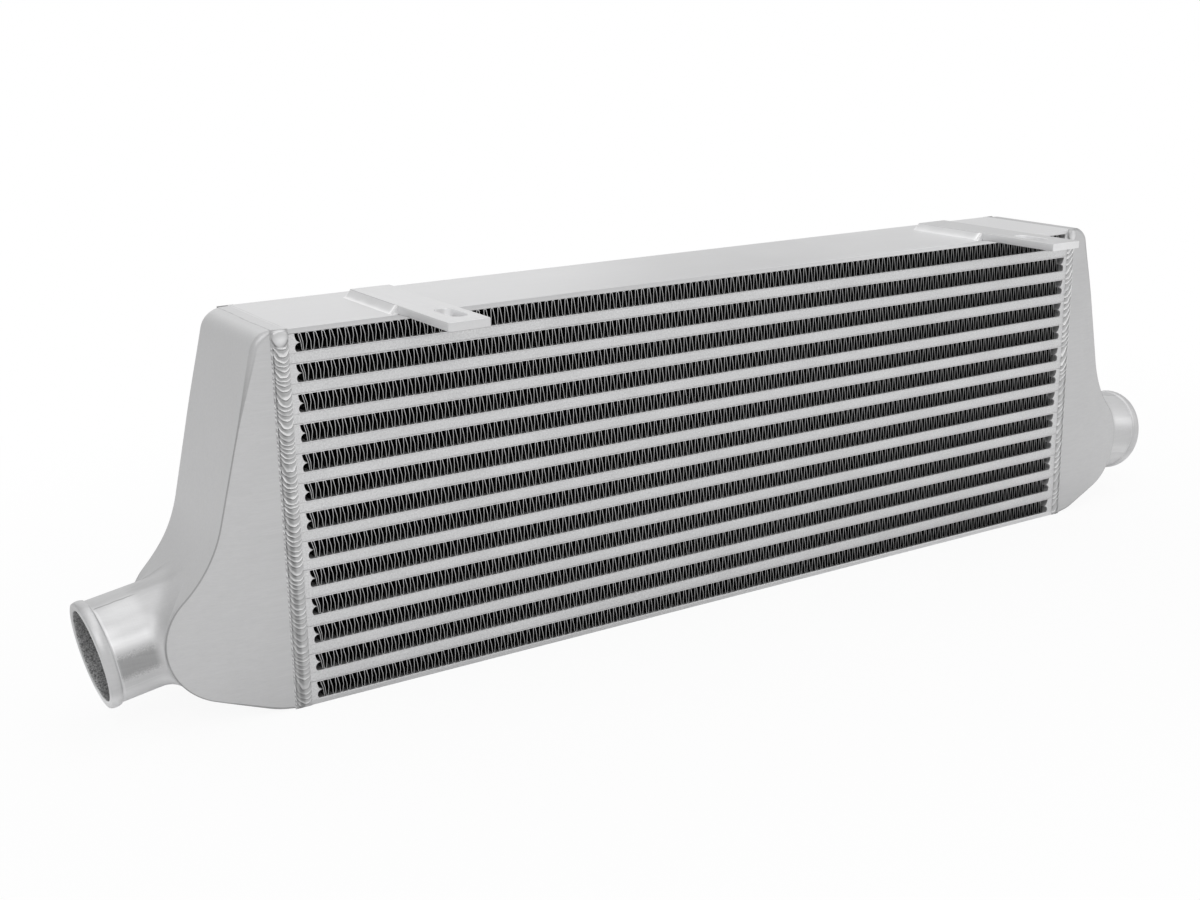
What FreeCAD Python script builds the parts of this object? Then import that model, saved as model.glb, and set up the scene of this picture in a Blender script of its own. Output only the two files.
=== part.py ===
import FreeCAD, Part
import math
import os

# Bar-and-plate intercooler: a brazed core with folded fins, two cast end tanks with
# beaded hose stubs, and two slotted brackets on the top plate.
# Millimetres. X runs along the core, Y across its depth with the front at minus Y, Z is up.
# The origin is the centre of the core's bottom face.

V = FreeCAD.Vector
X_AXIS = V(1, 0, 0)
Y_AXIS = V(0, 1, 0)
Z_AXIS = V(0, 0, 1)

# Core
core_length = 550.0
core_depth = 76.0
fin_rows = 13
fin_height = 9.1
passage_height = 6.1
plate_thickness = 3.0
sheet_thickness = 0.5
end_bar_width = 6.0
long_bar_depth = 6.0

# Folded fins of the rows and of the passages
fin_leg_count = 38
fin_metal = 0.6
fin_recess = 0.6
turbulator_leg_count = 6
turbulator_metal = 0.5
turbulator_set_back = 4.0

# Nose of an end bar, seen from the front
nose_reach = 2.0
nose_scallop_share = 0.42
nose_scallop_step_count = 3

# End tanks
tank_wall = 4.0
tank_top_reach = 14.3
tank_corner_radius = 12.0
tank_foot_reach = 42.35
tank_foot_rise_in_radii = 1.179
tank_foot_radius = 73.5
tank_nose_reach = 35.2
tank_nose_height_share = 0.2198
tank_nose_radius_share = 0.1666
tank_heel_reach = 11.1
tank_arc_gap = 0.06
tank_narrow_start = 15.2
tank_narrow_share = 0.733
tank_edge_chamfer = 2.5

# Hose stubs, part of the tanks
stub_radius = 27.0
stub_wall = 3.0
stub_tilt_deg = 9.5
stub_root_reach = 39.0
stub_root_share = 0.24
stub_mouth_reach = 97.0
flare_radius = 29.5
flare_start = 27.0
flare_end = 38.0
bead_height = 1.2
bead_width = 6.0
bead_flank = 2.0
rim_step = 0.6

# Upright weld beads between core and tanks
weld_width = 10.5
weld_height = 2.2
weld_set_in = 0.5

# Brackets on the top plate
bracket_width = 23.0
bracket_seat = 58.0
bracket_thickness = 4.5
left_bracket_overhang = 54.0
right_bracket_overhang = 57.5
left_bracket_share = 0.3673
right_bracket_share = 0.3727
slot_width = 10.0
slot_length = 24.0
slot_lead = 31.0
slot_shift = 2.0
bracket_weld_leg = 4.0

# Values that follow from the ones above
row_pitch = fin_height + passage_height
core_height = 2 * plate_thickness + fin_rows * fin_height + (fin_rows - 1) * passage_height
half_length = core_length / 2
half_depth = core_depth / 2
tank_nose_height = tank_nose_height_share * core_height
tank_nose_radius = tank_nose_radius_share * core_height
opening_half = half_length - end_bar_width
bar_height = passage_height - 2 * sheet_thickness
plate_top = core_height
left_bracket_centre = left_bracket_share * core_length
right_bracket_centre = right_bracket_share * core_length


def row_bottom(row):
    """Height of the lower side of a fin row, row 0 being the top one."""
    return plate_top - plate_thickness - fin_height - row * row_pitch


def passage_bottom(passage):
    """Height of the lower side of a charge passage, passage 0 being the top one."""
    return row_bottom(passage) - passage_height


def box(x0, x1, y0, y1, z0, z1):
    """A box between two limits on each axis."""
    return Part.makeBox(x1 - x0, y1 - y0, z1 - z0, V(x0, y0, z0))


def prism(points, direction):
    """A solid pushed from a closed outline of points."""
    face = Part.Face(Part.makePolygon(points + [points[0]]))
    return face.extrude(direction)


def mirrored(shape):
    """The same shape on the other end of the core."""
    return shape.mirror(V(0, 0, 0), X_AXIS)


def zigzag(length, height, metal, legs):
    """Outline of a folded strip that fills length by height, as pairs of numbers."""
    pitch = length / legs
    # The strip leans, so its thickness measured along the row and upwards grows.
    lean = math.atan2(pitch, height)
    run = metal / math.cos(lean)
    rise = metal / math.sin(lean)
    lower = []
    upper = []
    for index in range(legs + 1):
        along = index * pitch
        at_top = index % 2 == 1
        first = index == 0
        last = index == legs
        if first:
            lower.append((along + run, 0.0))
            upper.append((along, 0.0))
        elif last and at_top:
            lower.append((along, height))
            upper.append((along - run, height))
        elif last:
            lower.append((along - run, 0.0))
            upper.append((along, 0.0))
        elif at_top:
            lower.append((along, height - rise))
            upper.append((along, height))
        else:
            lower.append((along, 0.0))
            upper.append((along, rise))
    return lower + upper[::-1]


def air_fin(row):
    """One row of ambient-air fins, folded along X and open from front to rear."""
    low = row_bottom(row)
    front = fin_recess - half_depth
    outline = zigzag(2 * (opening_half - nose_reach), fin_height, fin_metal, fin_leg_count)
    left = nose_reach - opening_half
    points = [V(left + along, front, low + up) for along, up in outline]
    return prism(points, V(0, core_depth - 2 * fin_recess, 0))


def turbulator(passage):
    """The inner fin of a charge passage, folded across Y and open along X."""
    low = passage_bottom(passage) + sheet_thickness
    width = core_depth - 2 * long_bar_depth
    start = turbulator_set_back - half_length
    outline = zigzag(width, bar_height, turbulator_metal, turbulator_leg_count)
    points = [V(start, across - width / 2, low + up) for across, up in outline]
    return prism(points, V(core_length - 2 * turbulator_set_back, 0, 0))


def long_bars(passage):
    """The front and the rear bar that close a charge passage."""
    low = passage_bottom(passage) + sheet_thickness
    inner = half_depth - long_bar_depth
    front = box(-half_length, half_length, -half_depth, -inner, low, low + bar_height)
    rear = box(-half_length, half_length, inner, half_depth, low, low + bar_height)
    return Part.makeCompound([front, rear])


def parting_sheets():
    """The flat sheets above and below every charge passage."""
    sheets = []
    for passage in range(fin_rows - 1):
        low = passage_bottom(passage)
        for bottom in (low, low + passage_height - sheet_thickness):
            top = bottom + sheet_thickness
            sheets.append(box(-half_length, half_length, -half_depth, half_depth, bottom, top))
    return Part.makeCompound(sheets)


def nose_outline(low):
    """Outline of an end bar on the left: a point between two hollows faces the fins."""
    inner = -opening_half
    scallop = nose_scallop_share * fin_height
    middle = low + fin_height / 2
    points = [V(-half_length, -half_depth, low), V(inner + nose_reach, -half_depth, low)]
    for index in range(1, nose_scallop_step_count):
        angle = math.pi * index / nose_scallop_step_count
        depth = nose_reach * math.sin(angle)
        points.append(V(inner + nose_reach - depth, -half_depth, low + scallop * index / nose_scallop_step_count))
    points.append(V(inner + nose_reach, -half_depth, middle))
    for index in range(nose_scallop_step_count - 1, 0, -1):
        angle = math.pi * index / nose_scallop_step_count
        depth = nose_reach * math.sin(angle)
        up = low + fin_height - scallop * index / nose_scallop_step_count
        points.append(V(inner + nose_reach - depth, -half_depth, up))
    points.append(V(inner + nose_reach, -half_depth, low + fin_height))
    points.append(V(-half_length, -half_depth, low + fin_height))
    return points


def end_bars():
    """All nosed bars that close the fin rows on the left side."""
    bars = []
    for row in range(fin_rows):
        bars.append(prism(nose_outline(row_bottom(row)), V(0, core_depth, 0)))
    return Part.makeCompound(bars)


def rounded_wire(corners, y):
    """A closed wire in the plane Y = y. Corners are (x, z, radius)."""
    edges = []
    ends = []
    count = len(corners)
    for index in range(count):
        x, z, radius = corners[index]
        here = V(x, y, z)
        before = V(corners[index - 1][0], y, corners[index - 1][1])
        after_corner = corners[(index + 1) % count]
        after = V(after_corner[0], y, after_corner[1])
        if radius <= 0:
            ends.append((here, here, None))
            continue
        to_before = (before - here).normalize()
        to_after = (after - here).normalize()
        half_angle = to_before.getAngle(to_after) / 2
        reach = radius / math.tan(half_angle)
        bisector = (to_before + to_after).normalize()
        centre = here + bisector * (radius / math.sin(half_angle))
        middle = centre - bisector * radius
        ends.append((here + to_before * reach, here + to_after * reach, middle))
    for index in range(count):
        start, stop, middle = ends[index]
        if middle is not None:
            edges.append(Part.Arc(start, middle, stop).toShape())
        following = ends[(index + 1) % count][0]
        if stop.distanceToPoint(following) > Part.Precision.confusion():
            edges.append(Part.makeLine(stop, following))
    return Part.Wire(edges)


def tangent_corner(outside, centre, radius, lower):
    """Direction, as a unit pair, and distance from a point to the circle's tangent point."""
    across = centre[0] - outside[0]
    up = centre[1] - outside[1]
    distance = math.hypot(across, up)
    base = math.atan2(up, across)
    swing = math.asin(radius / distance)
    angle = base - swing if lower else base + swing
    return (math.cos(angle), math.sin(angle)), distance * math.cos(swing)


def tank_outline(join, inset, y):
    """Side outline of the right tank, moved inwards by inset, from the plane X = join."""
    top = plate_top
    foot_height = tank_nose_height + tank_foot_rise_in_radii * tank_nose_radius
    corner = (half_length + tank_top_reach, top)
    foot = (half_length + tank_foot_reach, foot_height)
    centre = (half_length + tank_nose_reach, tank_nose_height)
    heel = (half_length + tank_heel_reach, 0.0)
    shoulder, shoulder_run = tangent_corner(foot, centre, tank_nose_radius, False)
    sole, _ = tangent_corner(heel, centre, tank_nose_radius, True)
    # The shoulder and the sole meet in a point beyond the nose, which the nose's arc rounds.
    cross = shoulder[0] * sole[1] - shoulder[1] * sole[0]
    gap = (heel[0] - foot[0], heel[1] - foot[1])
    along = (gap[0] * sole[1] - gap[1] * sole[0]) / cross
    tip = (foot[0] + shoulder[0] * along, foot[1] + shoulder[1] * along)
    # The heel's arc ends just before the joint, so its radius follows from the sole's slope.
    sole_slope = math.atan2(sole[1], sole[0])
    heel_radius = (tank_heel_reach - tank_arc_gap) / math.tan(sole_slope / 2)
    # The foot's arc ends before the nose's arc begins.
    side_slope = math.atan2(corner[1] - foot[1], corner[0] - foot[0])
    shoulder_slope = math.atan2(shoulder[1], shoulder[0])
    foot_turn = math.pi - side_slope + shoulder_slope
    foot_radius = min(tank_foot_radius, (shoulder_run - tank_arc_gap) / math.tan(foot_turn / 2))
    corners = [
        (join, 0.0, 0.0),
        (join, top, 0.0),
        (corner[0], corner[1], tank_corner_radius),
        (foot[0], foot[1], foot_radius),
        (tip[0], tip[1], tank_nose_radius),
        (heel[0], heel[1], heel_radius),
    ]
    wire = rounded_wire(corners, y)
    face = Part.Face(wire)
    if inset > 0:
        face = face.makeOffset2D(-inset)
    return face


def stub_profile():
    """Half section of the hose stub, along its axis from inside the tank to the mouth."""
    length = stub_mouth_reach - stub_root_reach
    mouth = length / math.cos(math.radians(stub_tilt_deg))
    bead_start = mouth - bead_width
    crest = stub_radius + bead_height
    points = [
        V(0, 0, 0),
        V(0, 0, flare_radius),
        V(flare_start, 0, flare_radius),
        V(flare_end, 0, stub_radius),
        V(bead_start, 0, stub_radius),
        V(bead_start + bead_flank, 0, crest),
        V(mouth - bead_flank, 0, crest),
        V(mouth, 0, stub_radius - rim_step),
        V(mouth, 0, 0),
    ]
    return Part.Face(Part.makePolygon(points + [points[0]])), mouth


def placed_on_stub_axis(shape):
    """Turn a shape built along X so that it runs down the stub's tilted axis."""
    moved = shape.copy()
    moved.rotate(V(0, 0, 0), Y_AXIS, stub_tilt_deg)
    moved.translate(V(half_length + stub_root_reach, 0, stub_root_share * core_height))
    return moved


def narrowed(block, inset):
    """A block of the right tank whose front and rear, moved inwards by inset, slant towards the stub."""
    start = half_length + tank_narrow_start
    tip = half_length + tank_nose_reach + tank_nose_radius
    beyond = half_length + stub_mouth_reach
    slope = tank_narrow_share * (half_depth - stub_radius) / (tip - start)
    wide = half_depth - inset
    narrow = wide - slope * (beyond - start)
    for side in (-1, 1):
        plan = [(start, side * wide), (beyond, side * narrow), (beyond, side * core_depth), (start, side * core_depth)]
        points = [V(x, y, -tank_wall) for x, y in plan]
        corner = Part.Face(Part.makePolygon(points + [points[0]]))
        block = block.cut(corner.extrude(V(0, 0, core_height + 2 * tank_wall)))
    return block


def on_outline_edge(edge):
    """True for the edges of the tank's outline on its front and rear face."""
    middle = edge.CenterOfMass
    on_side = abs(abs(middle.y) - half_depth) < Part.Precision.confusion()
    ends = [vertex.Point.x for vertex in edge.Vertexes]
    at_join = max(ends) - half_length < Part.Precision.confusion()
    return on_side and not at_join


def right_tank():
    """The hollow end tank with its hose stub, open towards the core."""
    side = tank_outline(half_length, 0.0, -half_depth)
    body = side.extrude(V(0, core_depth, 0))
    body = body.makeChamfer(tank_edge_chamfer, [edge for edge in body.Edges if on_outline_edge(edge)])
    body = narrowed(body, 0.0)
    profile, mouth = stub_profile()
    stub = placed_on_stub_axis(profile.revolve(V(0, 0, 0), X_AXIS, 360))
    body = body.fuse(stub).removeSplitter()
    bore = Part.makeCylinder(stub_radius - stub_wall, 2 * mouth, V(0, 0, 0), X_AXIS)
    cavity = tank_outline(half_length - 2 * tank_wall, tank_wall, tank_wall - half_depth)
    hollow = narrowed(cavity.extrude(V(0, core_depth - 2 * tank_wall, 0)), tank_wall)
    return body.cut(hollow.fuse(placed_on_stub_axis(bore)))


def weld_bead(y_face, outward):
    """One upright bead over the joint of core and right tank."""
    low = V(half_length, y_face, weld_set_in)
    across = V(weld_width / 2, 0, 0)
    crown = low + V(0, outward * weld_height, 0)
    arc = Part.Arc(low - across, crown, low + across).toShape()
    section = Part.Face(Part.Wire([arc, Part.makeLine(low + across, low - across)]))
    return section.extrude(V(0, 0, core_height - 2 * weld_set_in))


def right_tank_weld():
    """The front and the rear bead of the right tank."""
    return Part.makeCompound([weld_bead(-half_depth, -1), weld_bead(half_depth, 1)])


def bracket(bracket_centre, overhang):
    """Flat bar on the top plate's right half, which reaches out in front with a slotted end."""
    left = bracket_centre - bracket_width / 2
    front = -half_depth - overhang
    bar = box(left, left + bracket_width, front, bracket_seat - half_depth, plate_top, plate_top + bracket_thickness)
    slot_x = bracket_centre - slot_shift
    slot_y = -half_depth - slot_lead
    half_run = (slot_length - slot_width) / 2
    cutter = box(
        slot_x - slot_width / 2,
        slot_x + slot_width / 2,
        slot_y - half_run,
        slot_y + half_run,
        plate_top,
        plate_top + bracket_thickness,
    )
    for centre in (slot_y - half_run, slot_y + half_run):
        round_end = Part.makeCylinder(slot_width / 2, bracket_thickness, V(slot_x, centre, plate_top), Z_AXIS)
        cutter = cutter.fuse(round_end)
    return bar.cut(cutter.removeSplitter())


def mound(x0, x1, y0, y1, z0, leg):
    """A low heap on z0 whose top is x0 to x1 by y0 to y1 and whose sides slope, bar the front."""
    base = [V(x0 - leg, y0, z0), V(x1 + leg, y0, z0), V(x1 + leg, y1 + leg, z0), V(x0 - leg, y1 + leg, z0)]
    top = [V(x0, y0, z0 + leg), V(x1, y0, z0 + leg), V(x1, y1, z0 + leg), V(x0, y1, z0 + leg)]
    outlines = [base, top]
    for index in range(len(base)):
        after = (index + 1) % len(base)
        outlines.append([base[index], base[after], top[after], top[index]])
    faces = [Part.Face(Part.makePolygon(outline + [outline[0]])) for outline in outlines]
    return Part.Solid(Part.Shell(faces))


def bracket_weld(bracket_centre):
    """The sloping weld along both sides and the rear end of a bracket on the right half."""
    left = bracket_centre - bracket_width / 2
    right = left + bracket_width
    front = -half_depth
    rear = bracket_seat - half_depth
    heap = mound(left, right, front, rear, plate_top, bracket_weld_leg)
    return heap.cut(box(left, right, front, rear, plate_top, plate_top + bracket_thickness))


def plate(low):
    """A plain plate of the core with its lower side at a height."""
    return box(-half_length, half_length, -half_depth, half_depth, low, low + plate_thickness)


def build():
    """All pieces by node name."""
    pieces = {
        "top_plate": plate(plate_top - plate_thickness),
        "bottom_plate": plate(0.0),
        "parting_sheets": parting_sheets(),
    }
    for row in range(fin_rows):
        pieces["air_fin_%02d" % (row + 1)] = air_fin(row)
    for passage in range(fin_rows - 1):
        pieces["long_bars_%02d" % (passage + 1)] = long_bars(passage)
        pieces["turbulator_%02d" % (passage + 1)] = turbulator(passage)
    pieces["end_bars_left"] = end_bars()
    pieces["right_tank"] = right_tank()
    pieces["right_tank_weld"] = right_tank_weld()
    pieces["end_bars_right"] = mirrored(pieces["end_bars_left"])
    pieces["left_tank"] = mirrored(pieces["right_tank"])
    pieces["left_tank_weld"] = mirrored(pieces["right_tank_weld"])
    pieces["right_bracket"] = bracket(right_bracket_centre, right_bracket_overhang)
    pieces["right_bracket_weld"] = bracket_weld(right_bracket_centre)
    pieces["left_bracket"] = mirrored(bracket(left_bracket_centre, left_bracket_overhang))
    pieces["left_bracket_weld"] = mirrored(bracket_weld(left_bracket_centre))
    return pieces


os.makedirs("parts", exist_ok=True)
for name, shape in build().items():
    shape.exportStep("parts/" + name + ".step")
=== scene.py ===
import logging
import math
from collections.abc import Iterator, Sequence
from contextlib import contextmanager
from dataclasses import dataclass, field
from enum import Enum
from typing import Any

import bmesh
import bpy
import numpy as np
from mathutils import Matrix, Vector

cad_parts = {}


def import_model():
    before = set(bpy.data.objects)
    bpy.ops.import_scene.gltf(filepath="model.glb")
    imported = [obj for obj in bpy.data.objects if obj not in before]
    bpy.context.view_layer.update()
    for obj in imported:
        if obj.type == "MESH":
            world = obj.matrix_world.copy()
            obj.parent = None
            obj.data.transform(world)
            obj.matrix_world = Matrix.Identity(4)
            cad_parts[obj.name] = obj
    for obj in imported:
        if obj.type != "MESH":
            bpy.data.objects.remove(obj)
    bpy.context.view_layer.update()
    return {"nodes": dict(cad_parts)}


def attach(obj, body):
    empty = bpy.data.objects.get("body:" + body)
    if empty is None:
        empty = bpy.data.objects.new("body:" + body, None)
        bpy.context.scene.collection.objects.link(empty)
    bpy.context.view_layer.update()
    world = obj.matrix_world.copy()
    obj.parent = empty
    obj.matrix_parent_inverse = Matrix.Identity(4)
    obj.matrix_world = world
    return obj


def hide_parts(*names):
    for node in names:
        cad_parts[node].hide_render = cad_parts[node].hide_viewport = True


LOG = logging.getLogger("intercooler")
MM = 0.001
BODY = "root"
Pair = tuple[float, float]
Colour = tuple[float, float, float]


# Sizes that the pieces share


@dataclass(frozen=True)
class CoreSizes:
    """Sizes of the brazed core, in metres."""

    length: float = 550 * MM
    depth: float = 76 * MM
    rows: int = 13
    fin_height: float = 9.1 * MM
    passage: float = 6.1 * MM
    plate: float = 3 * MM
    sheet: float = 0.5 * MM
    fin_recess: float = 0.6 * MM
    end_bar: float = 6 * MM
    long_bar_depth: float = 6 * MM

    @property
    def half_length(self) -> float:
        """Distance from the middle to the joint with a tank."""
        return self.length / 2

    @property
    def half_depth(self) -> float:
        """Distance from the middle to the front face."""
        return self.depth / 2

    @property
    def height(self) -> float:
        """Height of the top plate's upper side."""
        return 2 * self.plate + self.rows * self.fin_height + (self.rows - 1) * self.passage

    @property
    def pitch(self) -> float:
        """Height from one fin row to the next."""
        return self.fin_height + self.passage

    @property
    def opening_half(self) -> float:
        """Distance from the middle to the end of a fin row's opening."""
        return self.half_length - self.end_bar

    def row_bottom(self, row: int) -> float:
        """Height of the lower side of a fin row, row 0 being the top one."""
        return self.height - self.plate - self.fin_height - row * self.pitch


CORE = CoreSizes()


# Nodes with few words


@dataclass(frozen=True)
class Number:
    """A number that flows out of a node, with plain arithmetic on it."""

    maker: "NodeMaker"
    socket: bpy.types.NodeSocket

    def __add__(self, other: "Number | float") -> "Number":
        """Sum of two numbers."""
        return self.maker.math("ADD", self, other)

    def __radd__(self, other: float) -> "Number":
        """Sum with a plain number on the left."""
        return self.maker.math("ADD", other, self)

    def __sub__(self, other: "Number | float") -> "Number":
        """Difference of two numbers."""
        return self.maker.math("SUBTRACT", self, other)

    def __rsub__(self, other: float) -> "Number":
        """Difference from a plain number on the left."""
        return self.maker.math("SUBTRACT", other, self)

    def __mul__(self, other: "Number | float") -> "Number":
        """Product of two numbers."""
        return self.maker.math("MULTIPLY", self, other)

    def __rmul__(self, other: float) -> "Number":
        """Product with a plain number on the left."""
        return self.maker.math("MULTIPLY", other, self)

    def __truediv__(self, other: "Number | float") -> "Number":
        """Quotient of two numbers."""
        return self.maker.math("DIVIDE", self, other)

    def __mod__(self, other: "Number | float") -> "Number":
        """Remainder that is never negative."""
        return self.maker.math("FLOORED_MODULO", self, other)

    def floor(self) -> "Number":
        """Whole part, rounded down."""
        return self.maker.math("FLOOR", self)

    def size(self) -> "Number":
        """Absolute value."""
        return self.maker.math("ABSOLUTE", self)

    def power(self, exponent: float) -> "Number":
        """Power of a number that isn't negative."""
        return self.maker.math("POWER", self, exponent)

    def root(self) -> "Number":
        """Square root."""
        return self.maker.math("SQRT", self)

    def at_least(self, limit: float) -> "Number":
        """The number, or the limit where it is lower."""
        return self.maker.math("MAXIMUM", self, limit)

    def at_most(self, limit: float) -> "Number":
        """The number, or the limit where it is higher."""
        return self.maker.math("MINIMUM", self, limit)

    def above(self, limit: "Number | float") -> "Number":
        """One where the number is over a limit, else zero."""
        return self.maker.math("GREATER_THAN", self, limit)

    def ramp(self, low: "Number | float", high: "Number | float") -> "Number":
        """Smooth step from zero at low to one at high."""
        return self.maker.ramp(self, low, high)

    def fall(self, low: float, high: float) -> "Number":
        """Smooth step from one at low to zero at high."""
        return 1.0 - self.ramp(low, high)

    def near(self, middle: float, reach: float, low: float = 0.0, high: float = 1.0) -> "Number":
        """One at a middle value, fading to zero between two shares of a reach."""
        return ((self - middle).size() / reach).fall(low, high)


class NodeMaker:
    """Adds and links the nodes of one tree."""

    def __init__(self, tree: bpy.types.NodeTree) -> None:
        """Keep the tree that the nodes go into."""
        self.tree = tree

    def node(self, kind: str, links: dict[str | int, Any] | None = None, **settings: Any) -> bpy.types.Node:
        """Add a node.

        Args:
            kind: Name of the node type.
            links: Value, socket or Number for each input, by name or index.
            settings: Properties of the node itself.

        Returns:
            The new node.
        """
        made = self.tree.nodes.new(kind)
        for key, value in settings.items():
            setattr(made, key, value)
        for key, value in (links or {}).items():
            self.feed(made.inputs[key], value)
        return made

    def feed(self, socket: bpy.types.NodeSocket, value: Any) -> None:
        """Link a socket or set its plain value."""
        if isinstance(value, Number):
            self.tree.links.new(value.socket, socket)
        elif isinstance(value, bpy.types.NodeSocket):
            self.tree.links.new(value, socket)
        else:
            socket.default_value = value

    def math(self, operation: str, *values: "Number | float") -> Number:
        """Apply one arithmetic operation and return its result."""
        made = self.tree.nodes.new("ShaderNodeMath")
        made.operation = operation
        for index, value in enumerate(values):
            self.feed(made.inputs[index], value)
        return Number(self, made.outputs[0])

    def number(self, made: bpy.types.Node, output: str | int = 0) -> Number:
        """One output of a node as a number."""
        return Number(self, made.outputs[output])

    def ramp(self, value: Number, low: Number | float, high: Number | float) -> Number:
        """Smooth step of a value from zero at low to one at high."""
        made = self.node(
            "ShaderNodeMapRange",
            {"Value": value, "From Min": low, "From Max": high},
            interpolation_type="SMOOTHSTEP",
        )
        return self.number(made, "Result")

    def join(self, x: Any, y: Any, z: Any) -> bpy.types.NodeSocket:
        """Make a vector of three numbers."""
        return self.node("ShaderNodeCombineXYZ", {0: x, 1: y, 2: z}).outputs[0]

    def split(self, vector: bpy.types.NodeSocket) -> tuple[Number, Number, Number]:
        """Take a vector apart."""
        made = self.node("ShaderNodeSeparateXYZ", {0: vector})
        return self.number(made, 0), self.number(made, 1), self.number(made, 2)

    def colour(self, red: Any, green: Any, blue: Any) -> bpy.types.NodeSocket:
        """Make a colour of three numbers."""
        return self.node("ShaderNodeCombineColor", {0: red, 1: green, 2: blue}).outputs[0]

    def attribute(self, name: str) -> Number:
        """A number kept on the mesh's points."""
        return self.number(self.node("ShaderNodeAttribute", None, attribute_name=name), "Fac")

    def effect(self, group: bpy.types.NodeTree, links: dict[str | int, Any]) -> bpy.types.Node:
        """Add a shared shader group with values for its inputs."""
        return self.node("ShaderNodeGroup", links, node_tree=group)

    def noise(self, vector: Any, scale: Any, detail: float = 2.0, roughness: float = 0.5) -> Number:
        """Smooth noise between about 0.2 and 0.8, with its mean at one half."""
        made = self.node(
            "ShaderNodeTexNoise",
            {"Vector": vector, "Scale": scale, "Detail": detail, "Roughness": roughness},
        )
        return self.number(made)


def bare_nodes(owner: bpy.types.Material | bpy.types.World) -> NodeMaker:
    """Turn an owner's nodes on, remove those that it came with and return a maker for new ones."""
    owner.use_nodes = True
    owner.node_tree.nodes.clear()
    return NodeMaker(owner.node_tree)


def add_object(name: str, data: bpy.types.ID) -> bpy.types.Object:
    """Make an object of a mesh, a lamp or a camera and put it into the scene."""
    made = bpy.data.objects.new(name, data)
    bpy.context.scene.collection.objects.link(made)
    return made


class SocketKind(Enum):
    """Kinds of named sockets that the trees use."""

    NUMBER = "NodeSocketFloat"
    COUNT = "NodeSocketInt"
    VECTOR = "NodeSocketVector"
    MATERIAL = "NodeSocketMaterial"
    GEOMETRY = "NodeSocketGeometry"

    @classmethod
    def of(cls, default: float | int | tuple[float, float, float] | None) -> "SocketKind":
        """The kind of input that a default value belongs to, which is a material for None."""
        if default is None:
            return cls.MATERIAL
        if isinstance(default, tuple):
            return cls.VECTOR
        return cls.COUNT if isinstance(default, int) else cls.NUMBER


class NamedTree:
    """A node group with named inputs."""

    def __init__(self, name: str, kind: str, inputs: dict[str, Any]) -> None:
        """Make the group and its inputs.

        Args:
            name: Name of the node group.
            kind: Name of the tree type.
            inputs: Default value of each named input.
        """
        self.tree = bpy.data.node_groups.new(name, kind)
        self.maker = NodeMaker(self.tree)
        self.keys: dict[str, str] = {}
        for label, default in inputs.items():
            wanted = SocketKind.of(default).value
            socket = self.tree.interface.new_socket(label, in_out="INPUT", socket_type=wanted)
            if default is not None:
                socket.default_value = default
            self.keys[label] = socket.identifier
        self.entry = self.tree.nodes.new("NodeGroupInput")

    def given(self, label: str) -> Number:
        """The number on a named input."""
        return self.maker.number(self.entry, label)


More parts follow.
